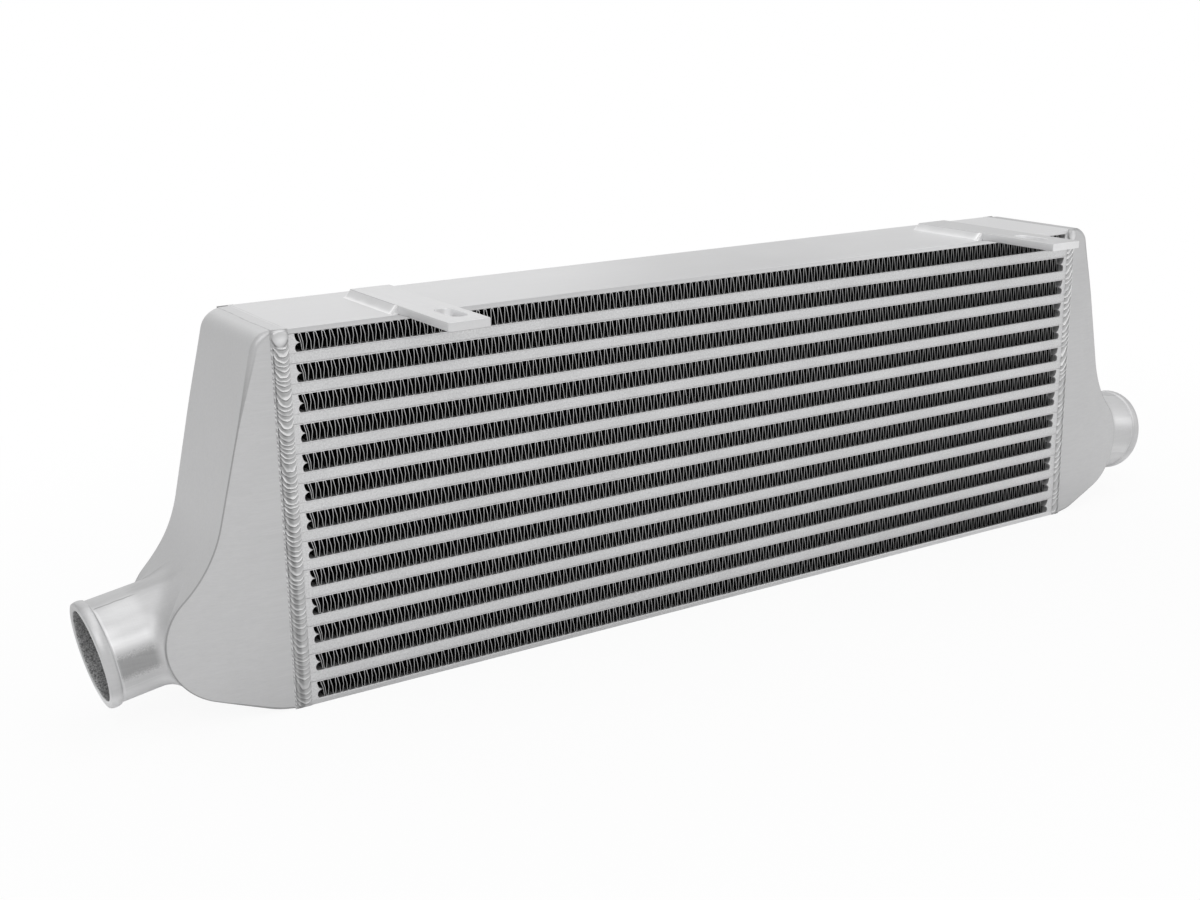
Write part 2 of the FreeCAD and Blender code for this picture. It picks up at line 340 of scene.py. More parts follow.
class GrowthTree(NamedTree):
    """A tree with named inputs, which grows one mesh."""

    def __init__(self, name: str, inputs: dict[str, Any]) -> None:
        """Make the tree with its inputs, a finish among them.

        Args:
            name: Name of the node group.
            inputs: Default value of each named input but the finish.
        """
        super().__init__(name, "GeometryNodeTree", {**inputs, "Finish": None})
        self.tree.interface.new_socket("Geometry", in_out="OUTPUT", socket_type=SocketKind.GEOMETRY.value)

    def index(self) -> Number:
        """Number of each point, counted from zero."""
        return self.maker.number(self.maker.node("GeometryNodeInputIndex"))

    def curve_through(self, count: Any, place: bpy.types.NodeSocket) -> bpy.types.NodeSocket:
        """A curve through a count of points, whose place follows their index."""
        line = self.maker.node("GeometryNodeMeshLine", {"Count": count})
        placed = self.maker.node("GeometryNodeSetPosition", {"Geometry": line.outputs[0], "Position": place})
        return self.maker.node("GeometryNodeMeshToCurve", {0: placed.outputs[0]}).outputs[0]

    def straight(self, length: Number, axis: int) -> bpy.types.NodeSocket:
        """A straight line along an axis, with its middle at the origin."""
        low, high = [0.0, 0.0, 0.0], [0.0, 0.0, 0.0]
        low[axis], high[axis] = length * -0.5, length * 0.5
        ends = {"Start": self.maker.join(*low), "End": self.maker.join(*high)}
        return self.maker.node("GeometryNodeCurvePrimitiveLine", ends).outputs[0]

    def rectangle(self, width: Number, height: Number) -> bpy.types.NodeSocket:
        """A rectangle round the origin."""
        sides = {"Width": width, "Height": height}
        return self.maker.node("GeometryNodeCurvePrimitiveQuadrilateral", sides).outputs[0]

    def rounded(self, curve: bpy.types.NodeSocket, steps: int) -> bpy.types.NodeSocket:
        """A curve with its corners rounded by the input named Corner."""
        values = {"Curve": curve, "Count": steps, "Radius": self.given("Corner"), "Limit Radius": True}
        return self.maker.node("GeometryNodeFilletCurve", values, mode="POLY").outputs[0]

    def swept(self, curve: bpy.types.NodeSocket, profile: bpy.types.NodeSocket) -> bpy.types.NodeSocket:
        """A profile swept along a curve, with closed ends."""
        values = {"Curve": curve, "Profile Curve": profile, "Fill Caps": True}
        return self.maker.node("GeometryNodeCurveToMesh", values).outputs[0]

    def stacked(self, bar: bpy.types.NodeSocket, x: Any, y: Any) -> bpy.types.NodeSocket:
        """Copies of a bar from the height First down, as the inputs Count and Pitch say."""
        points = self.maker.node(
            "GeometryNodeMeshLine",
            {
                "Count": self.entry.outputs["Count"],
                "Start Location": self.maker.join(x, y, self.given("First")),
                "Offset": self.maker.join(0.0, 0.0, self.given("Pitch") * -1.0),
            },
        )
        copies = {"Points": points.outputs[0], "Instance": bar}
        return self.maker.node("GeometryNodeInstanceOnPoints", copies).outputs[0]

    def kept(self, geometry: bpy.types.NodeSocket, name: str, value: Number) -> bpy.types.NodeSocket:
        """Geometry with a number kept on its points."""
        values = {"Geometry": geometry, "Name": name, "Value": value}
        made = self.maker.node("GeometryNodeStoreNamedAttribute", values, data_type="FLOAT", domain="POINT")
        return made.outputs[0]

    def close(self, geometry: bpy.types.NodeSocket) -> None:
        """End the tree: real geometry and the named material."""
        real = self.maker.node("GeometryNodeRealizeInstances", {"Geometry": geometry})
        dressed = self.maker.node(
            "GeometryNodeSetMaterial",
            {"Geometry": real.outputs[0], "Material": self.entry.outputs["Finish"]},
        )
        self.maker.node("NodeGroupOutput", {"Geometry": dressed.outputs[0]})

    def grow(self, name: str, values: dict[str, Any]) -> bpy.types.Mesh:
        """Run the tree once.

        Args:
            name: Name of the new mesh.
            values: Value for each named input that differs from its default.

        Returns:
            A plain mesh with no modifier on it.
        """
        holder = add_object(name + "_holder", bpy.data.meshes.new(name + "_holder"))
        modifier = holder.modifiers.new("grow", "NODES")
        modifier.node_group = self.tree
        for label, value in values.items():
            modifier[self.keys[label]] = value
        depsgraph = bpy.context.evaluated_depsgraph_get()
        mesh = bpy.data.meshes.new_from_object(holder.evaluated_get(depsgraph))
        mesh.name = name
        holder.modifiers.remove(modifier)
        bpy.data.objects.remove(holder)
        turn_outwards(mesh)
        return mesh


# Shared effects of the finishes


class EffectTree(NamedTree):
    """A shader group that works out numbers at a position."""

    def __init__(self, name: str, inputs: dict[str, Any]) -> None:
        """Make the group with a position and its other inputs."""
        super().__init__(name, "ShaderNodeTree", {"Position": (0.0, 0.0, 0.0), **inputs})
        self.place = self.entry.outputs["Position"]

    def close(self, **results: Number) -> bpy.types.NodeTree:
        """Put the results out under their names and return the group."""
        for label in results:
            self.tree.interface.new_socket(label, in_out="OUTPUT", socket_type=SocketKind.NUMBER.value)
        self.maker.node("NodeGroupOutput", results)
        return self.tree


class EffectGroups:
    """Shader groups that several finishes place with their own values."""

    def __init__(self) -> None:
        """Build every group once."""
        self.grain = self.build_grain()
        self.brush = self.build_brush()
        self.line = self.build_line()

    @staticmethod
    def build_grain() -> bpy.types.NodeTree:
        """Cast or blasted grain: soft clouds, a middle grain and fine specks."""
        effect = EffectTree("metal_grain", {"Cloud size": 40.0, "Grain size": 900.0, "Cloud share": 0.5})
        maker, scale, share = effect.maker, effect.given("Grain size"), effect.given("Cloud share")
        cloud = maker.noise(effect.place, effect.given("Cloud size"), 3.0, 0.55)
        grain = maker.noise(effect.place, scale, 2.0, 0.6)
        specks = maker.noise(effect.place, scale * 2.7, 1.0, 0.5)
        fine = grain * 0.6 + specks * 0.4
        return effect.close(Tone=cloud * share + fine * (1.0 - share), Height=fine)

    @staticmethod
    def build_brush() -> bpy.types.NodeTree:
        """Fine lines left by a belt or a cutter, drawn along one direction."""
        effect = EffectTree("brush_lines", {"Stretch": (1.0, 1.0, 1.0), "Density": 300.0})
        maker, density = effect.maker, effect.given("Density")
        factors = {0: effect.place, 1: effect.entry.outputs["Stretch"]}
        drawn = maker.node("ShaderNodeVectorMath", factors, operation="MULTIPLY").outputs[0]
        wide = maker.noise(drawn, density, 3.0, 0.65)
        narrow = maker.noise(drawn, density * 3.3, 2.0, 0.6)
        return effect.close(Tone=wide * 0.55 + narrow * 0.45, Height=narrow)

    @staticmethod
    def build_line() -> bpy.types.NodeTree:
        """A wandering line where a coordinate meets a value, for ground seams."""
        inputs = {"Across": 0.0, "Middle": 0.0, "Half width": 0.4 * MM, "Wander": 1.0 * MM}
        effect = EffectTree("seam_line", inputs)
        maker = effect.maker
        drift = (maker.noise(effect.place, 45.0, 2.0) - 0.5) * effect.given("Wander")
        away = (effect.given("Across") - effect.given("Middle") + drift).size() / effect.given("Half width")
        broken = maker.noise(effect.place, 260.0, 1.0).ramp(0.38, 0.62)
        return effect.close(Mask=away.fall(0.35, 1.0) * (0.45 + 0.55 * broken))


# Finishes


@dataclass(frozen=True)
class Grain:
    """Values of the grain effect on one finish."""

    cloud_size: float = 40.0
    grain_size: float = 900.0
    cloud_share: float = 0.45
    tone: float = 0.16
    depth: float = 0.05


@dataclass(frozen=True)
class Brush:
    """Values of the brush lines on one finish."""

    stretch: tuple[float, float, float] = (1.0, 0.02, 1.0)
    density: float = 500.0
    tone: float = 0.10
    depth: float = 0.03


class Extra(Enum):
    """What a finish has besides grain and brush lines."""

    PLAIN = "plain"
    # The dark folds are painted shade between the fins.
    FIN_EDGE = "bright cut edges over dark folds"
    # Seams, with painted light towards the far end.
    SEAMS = "ground seams on the upper side"
    # The dark bore and creases are painted shade; the turned stub carries painted reflections.
    TANK = "creases, turned stub and dark bore"
    # The bright crests and dull grooves are painted highlights and painted shade.
    WELD = "bright crests and dull grooves"
    # Also painted light on the front end and in the slot.
    BRACKET = "dull sawn sides"


@dataclass
class Surface:
    """What a surface looks like so far: light or dark factor, bump height and roughness."""

    tone: Number
    height: Number
    gloss: Number


@dataclass(frozen=True)
class StubMarks:
    """Where a stub's marks and its painted light, shade and reflections lie: metres along it, degrees round it
    from the turned patch.
    """

    patch_middle: float = 3.0
    patch_half: float = 51.0
    patch_start: float = 29.5 * MM
    patch_full: float = 35.0 * MM
    patch_end: float = 52.0 * MM
    border_half: float = 1.3
    painted_shine_half: float = 10.5
    dark_reflection_middle: float = -22.0
    dark_reflection_half: float = 18.0
    hollow_start: float = 8.0 * MM
    hollow_end: float = 36.0 * MM


class Marks:
    """Draws on a surface what only one kind of finish has, painted light and shade among it."""

    TANK_SEAM = 281.2 * MM
    PLATE_SEAM = 273.4 * MM
    SEAM_WANDER = 1.6 * MM
    BRACKET_MIDDLE = 203.5 * MM

    def __init__(
        self, maker: NodeMaker, effects: EffectGroups, place: bpy.types.NodeSocket, surface: Surface
    ) -> None:
        """Keep the surface and take its place apart.

        Args:
            maker: Node maker of the material.
            effects: The shared shader groups.
            place: Object coordinates.
            surface: The surface that the marks go on.
        """
        self.maker = maker
        self.effects = effects
        self.place = place
        self.surface = surface
        self.x, self.y, self.z = maker.split(place)

    def draw(self, extra: Extra) -> None:
        """Draw the marks of one kind."""
        kinds = {
            Extra.FIN_EDGE: self.fin_edges,
            Extra.SEAMS: self.plate_seams,
            Extra.TANK: self.tank,
            Extra.WELD: self.weld,
            Extra.BRACKET: self.bracket,
        }
        if extra in kinds:
            kinds[extra]()

    def upper_side(self) -> Number:
        """One on the core's upper side and the tanks' tops, else zero."""
        return self.z.ramp(CORE.height - 1.0 * MM, CORE.height - 0.2 * MM)

    def seam(self, middle: float, half_width: float) -> Number:
        """Mask of a ground seam over the top, on both ends at a distance from the core's middle."""
        line = self.maker.effect(
            self.effects.line,
            {
                "Across": self.x.size(),
                "Position": self.place,
                "Middle": middle,
                "Half width": half_width,
                "Wander": self.SEAM_WANDER,
            },
        )
        return self.maker.number(line, "Mask") * self.upper_side()

    def fin_edges(self) -> None:
        """Cut edges in the metal's tone over folds painted near black as shade, with painted shade towards a row's
        floor and the far end.
        """
        front = CORE.half_depth - CORE.fin_recess
        edge = self.y.size().ramp(front - 0.5 * MM, front - 0.1 * MM)
        far = self.x.ramp(-0.10, 0.27)
        upper = ((self.z - CORE.plate) % CORE.pitch).ramp(2.0 * MM, 9.0 * MM)
        # Painted light on the upper part of each row, painted shade towards the far end.
        lit = 0.64 + 0.36 * upper - 0.34 * far
        self.surface.tone = self.surface.tone * (0.04 - 0.02 * far + lit * edge)

    def plate_seams(self) -> None:
        """A ground seam near each end, and more light towards the far end."""
        seam = self.seam(self.PLATE_SEAM, 0.4 * MM)
        self.surface.tone = self.surface.tone - seam * 0.18 + 0.27 * self.x.ramp(-0.12, 0.27)
        self.surface.height = self.surface.height - seam * 0.14

    def weld(self) -> None:
        """Painted highlights on the crests and painted shade in the grooves and down the flank, as the bead's
        points have them.
        """
        # The crest value holds painted highlights and shade, the flank value painted shade.
        crest = self.maker.attribute("crest")
        flank = self.maker.attribute("flank")
        self.surface.tone = self.surface.tone * (0.42 + 0.62 * crest - 0.22 * flank)
        self.surface.gloss = self.surface.gloss + (1.0 - crest) * 0.15

    def bracket(self) -> None:
        """Sawn sides, painted light on the front end, most of all on the right, and painted light in the slot."""
        facing = self.maker.node("ShaderNodeNewGeometry").outputs["Normal"]
        sideways, backwards, upwards = self.maker.split(facing)
        flank = sideways.size().ramp(0.8, 0.98)
        front = (backwards * -1.0).ramp(0.8, 0.98)
        top = CORE.height + Bracket.thickness
        upper = self.z.ramp(top - 0.3 * MM, top - 0.05 * MM)
        outside = (self.x.size() - self.BRACKET_MIDDLE).size().ramp(8.6 * MM, 9.6 * MM)
        ahead = (self.y * -1.0).ramp(CORE.half_depth - 1.0 * MM, CORE.half_depth + 1.0 * MM)
        sawn = flank * outside * ahead * (1.0 - upper)
        # Painted light in the slot, where shade falls, and on the front end, more on the right bracket.
        slot = upwards.fall(0.6, 0.9) * (1.0 - outside) * (1.0 - front)
        lit = 0.10 + 0.22 * self.x.above(0.0)
        self.surface.tone = self.surface.tone * (1.0 + 0.16 * sawn + lit * front + 0.35 * slot)
        self.surface.gloss = self.surface.gloss + 0.10 * flank

    def tank(self) -> None:
        """Marks of a tank: turned stub, painted shade along the crease, on the top and in the bore, and a ground
        seam.
        """
        surface = self.surface
        crease = self.maker.attribute("crease")
        bore = self.maker.attribute("bore")
        rough = self.maker.noise(self.place, 1100.0, 3.0, 0.75)
        seam = self.seam(self.TANK_SEAM, 0.55 * MM)
        self.stub(rough)
        # Painted shade along the crease and on the top; the ground seam is darker.
        surface.tone = surface.tone - crease * 0.36 - seam * 0.26 - self.upper_side() * 0.05
        # The bore and the tank's inside are painted dark as shade, with rough specks.
        surface.tone = surface.tone * (1.0 - bore) + bore * (0.22 + rough.ramp(0.30, 0.72) * 0.86)
        surface.height = surface.height - crease * 0.05 - seam * 0.12 + bore * rough * 0.5
        surface.gloss = surface.gloss + bore * 0.15

    def stub(self, rough: Number) -> None:
        """Marks of a stub, whose points know their place along it and round it."""
        maker, surface, spots = self.maker, self.surface, StubMarks()
        along = maker.attribute("along")
        around = maker.attribute("around")
        below = around * -1.0
        # The right stub gets weaker painted reflection bands and a lighter patch, as painted light, than the left
        # one.
        right_stub = self.x.above(0.0)
        marked = 1.0 - right_stub * 0.60
        # Painted shade over the patch, only on the left stub, and in the hollow; painted light underneath and a
        # painted highlight along the patch's end.
        over = around.ramp(52.0, 62.0) * around.fall(110.0, 140.0) * along.ramp(3.0 * MM, 14.0 * MM)
        under = below.ramp(42.0, 58.0) * below.fall(128.0, 146.0) * along.ramp(-2.0 * MM, 12.0 * MM)
        hollow = along.ramp(spots.hollow_start, spots.hollow_start + 12.0 * MM)
        hollow = hollow * along.fall(spots.hollow_end - 8.0 * MM, spots.hollow_end)
        hollow = hollow * around.ramp(-15.0, 20.0) * around.fall(70.0, 110.0)
        lit = along.near(spots.patch_end, 0.8 * MM, 0.3) * around.size().fall(50.0, 60.0)
        surface.tone = surface.tone - hollow * 0.10 + lit * 0.13
        surface.tone = surface.tone - over * 0.14 * (1.0 - right_stub) + under * (0.32 - 0.12 * right_stub)
        # The patch that a cutter has touched carries painted reflections, a bright band above and a dark band
        # below, and round it a line of painted shade above and painted light below.
        stray = (maker.noise(self.place, 120.0, 2.0) - 0.5) * 3.0
        lies = (around - spots.patch_middle).size() + stray
        reach = along.ramp(spots.patch_start, spots.patch_full)
        reach = reach * along.fall(spots.patch_end, spots.patch_end + 0.3 * MM)
        turned = lies.fall(spots.patch_half - 0.8, spots.patch_half + 0.6) * reach
        border = lies.near(spots.patch_half, spots.border_half, 0.3) * reach
        painted_shine = around.near(spots.patch_middle, spots.painted_shine_half, 0.1)
        dull = (around + (rough - 0.5) * 16.0).near(spots.dark_reflection_middle, spots.dark_reflection_half, 0.35)
        rings = maker.noise(maker.join(along, 0.0, 0.0), 1500.0, 2.0, 0.6)
        surface.tone = surface.tone - border * (0.40 * around.ramp(-3.0, 3.0) - 0.05) * marked
        patch = 0.02 + 0.13 * right_stub + (0.44 * painted_shine - 0.42 * dull) * marked + (rings - 0.5) * 0.08
        surface.tone = surface.tone + turned * patch
        surface.height = surface.height * (1.0 - turned * 0.9) + turned * rings * 0.006
        surface.gloss = surface.gloss - turned * 0.05


@dataclass(frozen=True)
class Finish:
    """One metal finish: its colour, its gloss and its marks."""

    name: str
    colour: Colour
    roughness: float
    metallic: float
    grain: Grain
    brush: Brush
    extra: Extra = Extra.PLAIN

    def material(self, effects: EffectGroups) -> bpy.types.Material:
        """Build the node material of this finish.

        Args:
            effects: The shared shader groups.

        Returns:
            The new material.
        """
        made = bpy.data.materials.new(self.name)
        maker = bare_nodes(made)
        place = maker.node("ShaderNodeTexCoord").outputs["Object"]
        grain = maker.effect(
            effects.grain,
            {
                "Position": place,
                "Cloud size": self.grain.cloud_size,
                "Grain size": self.grain.grain_size,
                "Cloud share": self.grain.cloud_share,
            },
        )
        brush = maker.effect(
            effects.brush,
            {"Position": place, "Stretch": self.brush.stretch, "Density": self.brush.density},
        )
        cloudy = maker.number(grain, "Tone") - 0.5
        lines = maker.number(brush, "Tone") - 0.5
        surface = Surface(
            tone=cloudy * (2 * self.grain.tone) + lines * (2 * self.brush.tone) + 1.0,
            height=maker.number(grain, "Height") * self.grain.depth
            + maker.number(brush, "Height") * self.brush.depth,
            gloss=cloudy * 0.22 + self.roughness,
        )
        Marks(maker, effects, place, surface).draw(self.extra)
        bump = maker.node("ShaderNodeBump", {"Strength": 0.6, "Distance": 1 * MM, "Height": surface.height})
        shader = maker.node(
            "ShaderNodeBsdfPrincipled",
            {
                "Base Color": maker.colour(*(surface.tone * channel for channel in self.colour)),
                "Roughness": surface.gloss,
                "Metallic": self.metallic,
                "Normal": bump.outputs[0],
            },
        )
        maker.node("ShaderNodeOutputMaterial", {"Surface": shader.outputs[0]})
        return made


# Meshes and pieces


def step_between(value: float, low: float, high: float) -> float:
    """Smooth step of a plain number from zero at low to one at high."""
    share = max(0.0, min(1.0, (value - low) / (high - low)))
    return share * share * (3 - 2 * share)


def wrapped(degrees: float) -> float:
    """An angle brought between -180 and 180 degrees."""
    return (degrees + 180.0) % 360.0 - 180.0


@contextmanager
def edited(mesh: bpy.types.Mesh) -> Iterator[bmesh.types.BMesh]:
    """Open a mesh for changes and write it back afterwards."""
    work = bmesh.new()
    work.from_mesh(mesh)
    yield work
    work.to_mesh(mesh)
    work.free()


def turn_outwards(mesh: bpy.types.Mesh) -> None:
    """Merge doubles of a mesh and turn its faces outwards."""
    with edited(mesh) as work:
        bmesh.ops.remove_doubles(work, verts=work.verts[:], dist=1e-6)
        bmesh.ops.recalc_face_normals(work, faces=work.faces[:])


def place_mesh(
    mesh: bpy.types.Mesh, name: str, material: bpy.types.Material | None, nodes: Sequence[str]
) -> None:
    """Make a finished piece of a mesh, which rides on the body.

    Args:
        mesh: The piece's mesh, with its place in it.
        name: Name of the piece.
        material: Material of all faces, or None where the mesh has its own.
        nodes: Nodes that the piece stands for.
    """
    if material is not None:
        mesh.materials.clear()
        mesh.materials.append(material)
    piece = add_object(name, mesh)
    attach(piece, BODY)
    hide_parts(*nodes)
    LOG.info("%s: %d faces", name, len(mesh.polygons))


def smooth(mesh: bpy.types.Mesh, angle_deg: float) -> bpy.types.Mesh:
    """Shade a mesh smooth, with sharp edges over an angle."""
    mesh.polygons.foreach_set("use_smooth", [True] * len(mesh.polygons))
    mesh.set_sharp_from_angle(angle=math.radians(angle_deg))
    return mesh


def mirrored(mesh: bpy.types.Mesh, name: str, axis: int) -> bpy.types.Mesh:
    """A copy of a mesh mirrored on one axis, with its faces turned outwards again."""
    copy = mesh.copy()
    copy.name = name
    with edited(copy) as work:
        for vertex in work.verts:
            vertex.co[axis] = -vertex.co[axis]
        bmesh.ops.reverse_faces(work, faces=work.faces[:])
    return copy


def joined(meshes: Sequence[bpy.types.Mesh], name: str) -> bpy.types.Mesh:
    """One mesh with the faces and attributes of several."""
    result = meshes[0].copy()
    result.name = name
    with edited(result) as work:
        for mesh in meshes[1:]:
            work.from_mesh(mesh)
    return result


# Core


@dataclass
class AirFins:
    """The folded fins of all rows."""

    core: CoreSizes
    fold: float = 4.1 * MM
    crest: float = 1.2 * MM
    lean_down: float = 1.4 * MM
    metal: float = 0.30 * MM
    corner: float = 0.42 * MM
    first_crest: float = 1.85 * MM
    first_lean: float = 2.1 * MM
    bow: float = 0.5 * MM
    wander: float = 0.22 * MM
    seed: int = 7

    def tree(self) -> GrowthTree:
        """Build the tree that folds one strip."""
        growth = GrowthTree(
            "folded_fin",
            {
                "Points": 30,
                "Start": 0.0,
                "Floor": 0.0,
                "Height": self.core.fin_height,
                "Depth": self.core.depth,
                "Fold": self.fold,
                "Crest": self.crest,
                "Lean down": self.lean_down,
                "Metal": self.metal,
                "Corner": self.corner,
                "Bow": self.bow,
                "First lean": self.first_lean,
                "Wander": self.wander,
                "Seed": 0.0,
            },
        )
        maker, given = growth.maker, growth.given
        # Three points a half fold: the crest's start, its end and the middle of the leg.
        index = growth.index() + 4
        half = (index / 3).floor()
        step = index - half * 3
        after_crest = step.above(0.5)
        on_leg = step.above(1.5)
        odd = half % 2
        lean_up = given("Fold") - given("Crest") * 2 - given("Lean down")
        lean = given("Lean down") * (1.0 - odd) + lean_up * odd
        along = (half / 2).floor() * given("Fold")
        along = along + odd * (given("Crest") + given("Lean down"))
        along = along + after_crest * given("Crest") + on_leg * lean * 0.5
        x = along + given("Start")
        near_left = 1.0 - (x + self.core.opening_half).ramp(0.0, 0.16)
        bowed = given("Bow") * (0.22 + 0.78 * near_left) * on_leg
        stir = maker.noise(maker.join(index * 0.83, given("Seed"), 0.5), 1.0, 0.0) - 0.5
        drift = maker.noise(maker.join(x * 60, given("Seed") * 0.31, 2.5), 1.0, 1.0) - 0.5
        x = x + bowed + (stir + drift * 1.2) * given("Wander") * 2
        # The first leg is pushed over until its foot meets the second one's.
        foot = 1.0 - index.above(4.5)
        knee = index.above(4.5) * (1.0 - index.above(5.5))
        x = x + given("First lean") * (foot + knee * 0.45)
        up = (1.0 - odd * 2) * (1.0 - on_leg)
        inner = given("Height") * 0.5 - given("Metal") * 0.5
        z = given("Floor") + given("Height") * 0.5 + up * inner
        folded = growth.curve_through(growth.entry.outputs["Points"], maker.join(x, 0.0, z))
        section = growth.rectangle(given("Depth"), given("Metal"))
        growth.close(growth.swept(growth.rounded(folded, 2), section))
        return growth

    def build(self, finish: bpy.types.Material) -> None:
        """Fold a strip for every row."""
        growth = self.tree()
        start = self.first_crest - self.core.opening_half - self.fold
        clear = 2 * (self.core.opening_half - self.first_crest)
        folds = int(clear / self.fold)
        for row in range(self.core.rows):
            mesh = growth.grow(
                "folded_fin_%02d" % (row + 1),
                {
                    "Points": 6 * folds + 2,
                    "Start": start,
                    "Floor": self.core.row_bottom(row),
                    "Depth": self.core.depth - 2 * self.core.fin_recess,
                    "Seed": float(self.seed + 3 * row),
                    "Finish": finish,
                },
            )
            node = "air_fin_%02d" % (row + 1)
            place_mesh(smooth(mesh, 50), "folded_" + node, None, [node])


@dataclass
class LongBars:
    """The bars that close the charge passages at front and rear."""

    core: CoreSizes
    corner: float = 0.45 * MM

    def tree(self) -> GrowthTree:
        """Build the tree that stacks rounded bars."""
        growth = GrowthTree(
            "bar_stack",
            {
                "Length": self.core.length,
                "Bar depth": self.core.long_bar_depth,
                "Bar height": self.core.passage,
                "Corner": self.corner,
                "Count": self.core.rows - 1,
                "Pitch": self.core.pitch,
                "First": 0.0,
                "Offset": self.core.half_depth,
            },
        )
        section = growth.rectangle(growth.given("Bar depth"), growth.given("Bar height"))
        bar = growth.swept(growth.straight(growth.given("Length"), 0), growth.rounded(section, 4))
        sides = growth.maker.node("GeometryNodeJoinGeometry")
        for sign in (-1.0, 1.0):
            growth.maker.feed(sides.inputs[0], growth.stacked(bar, 0.0, growth.given("Offset") * sign))
        growth.close(sides.outputs[0])
        return growth

    def build(self, finish: bpy.types.Material) -> None:
        """Stack the bars of all passages."""
        core = self.core
        count = core.rows - 1
        mesh = self.tree().grow(
            "long_bars",
            {
                "Bar height": core.passage - 2 * core.sheet,
                "Count": count,
                "First": core.row_bottom(0) - core.passage / 2,
                "Offset": core.half_depth - core.long_bar_depth / 2,
                "Finish": finish,
            },
        )
        nodes = ["long_bars_%02d" % (passage + 1) for passage in range(count)]
        place_mesh(smooth(mesh, 60), "passage_bars", None, nodes)


@dataclass
class EndBars:
    """The nosed bars that close the fin rows left and right."""

    core: CoreSizes
    reach: float = 2.8 * MM
    back: float = 0.3 * MM
    nose_points: int = 49
    tip_from_top: float = 0.5
    bowl: float = 0.55
    lower_share: float = 0.45

    @staticmethod
    def bow(share: Number) -> Number:
        """A quarter circle that starts level at zero and stands upright at one."""
        return 1.0 - (1.0 - share * share).at_least(0.0).root()

    def tree(self) -> GrowthTree:
        """Build the tree that stacks nosed bars along one end."""
        growth = GrowthTree(
            "nosed_bars",
            {
                "Reach": self.reach,
                "Width": self.core.end_bar,
                "Height": self.core.fin_height,
                "Depth": self.core.depth,
                "Count": self.core.rows,
                "Pitch": self.core.pitch,
                "Opening": self.core.opening_half,
                "First": 0.0,
            },
        )
        last = self.nose_points - 1
        index = growth.index()
        # Share of the height, then the distance from the nearer edge of the bar.
        share = (index / last).at_most(1.0)
        # The upper hollow bends from the bar's edge out to the tip.
        upper = ((1.0 - share) / self.tip_from_top).at_least(0.0).at_most(1.0)
        # The lower one is round: it falls from the tip and comes part of the way out again.
        lower = ((1.0 - share - self.tip_from_top) / (1.0 - self.tip_from_top)).at_least(0.0)
        fall = (1.0 - lower / self.bowl).at_least(0.0)
        climb = ((lower - self.bowl) / (1.0 - self.bowl)).at_least(0.0) * 0.98
        below = lower.above(0.0)
        round_part = (self.bow(fall) + self.bow(climb) * self.lower_share) * below
        nose = growth.given("Reach") * (self.bow(upper) * (1.0 - below) + round_part)
        behind = index.above(last + 0.5)
        at_floor = index.above(last + 1.5)
        x = nose * (1.0 - behind) - (growth.given("Width") - self.back) * behind
        z = growth.given("Height") * (share * (1.0 - at_floor) - 0.5)
        maker = growth.maker
        outline = growth.curve_through(self.nose_points + 2, maker.join(x, z * -1.0, 0.0))
        loop = maker.node("GeometryNodeSetSplineCyclic", {"Geometry": outline, "Cyclic": True})
        bar = growth.swept(growth.straight(growth.given("Depth"), 1), loop.outputs[0])
        growth.close(growth.stacked(bar, growth.given("Opening") * -1.0 - self.back, 0.0))
        return growth

    def build(self, finish: bpy.types.Material) -> None:
        """Stack the bars of the left end and mirror them to the right one."""
        first = self.core.row_bottom(0) + self.core.fin_height / 2
        left = self.tree().grow("nosed_bars_left", {"First": first, "Finish": finish})
        right = mirrored(left, "nosed_bars_right", 0)
        place_mesh(smooth(left, 40), "nosed_bars_left", None, ["end_bars_left"])
        place_mesh(smooth(right, 40), "nosed_bars_right", None, ["end_bars_right"])


def rounded_slab(size: Sequence[Pair], radius: float, steps: int) -> bpy.types.Mesh:
    """A box between limits on each axis, with all its edges rounded.

    Args:
        size: Lowest and highest value on X, Y and Z.
        radius: Radius of the edges.
        steps: Segments of each rounding.

    Returns:
        The closed mesh.
    """
    mesh = bpy.data.meshes.new("slab")
    with edited(mesh) as work:
        bmesh.ops.create_cube(work, size=1.0)
        for vertex in work.verts:
            for axis, (low, high) in enumerate(size):
                vertex.co[axis] = low if vertex.co[axis] < 0 else high
        bmesh.ops.bevel(work, geom=work.edges[:], offset=radius, segments=steps, profile=0.5, affect="EDGES")
    return mesh


@dataclass
class CorePlates:
    """The plates above and below the fin rows, and the sheets between them."""

    core: CoreSizes
    edge: float = 0.5 * MM

    def build(self, plate: bpy.types.Material, sheet: bpy.types.Material) -> None:
        """Round the plates' edges and dress the parting sheets."""
        core = self.core
        for name, low in (("top_plate", core.height - core.plate), ("bottom_plate", 0.0)):
            sides = (-core.half_length, core.half_length), (-core.half_depth, core.half_depth)
            mesh = rounded_slab((*sides, (low, low + core.plate)), self.edge, 3)
            place_mesh(smooth(mesh, 60), "eased_" + name, plate, [name])
        dress_node("parting_sheets", sheet)


def dress_node(name: str, material: bpy.types.Material) -> None:
    """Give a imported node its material."""
    node = FRAME["nodes"][name]
    node.data.materials.clear()
    node.data.materials.append(material)
    LOG.info("%s: dressed", name)


# End tanks


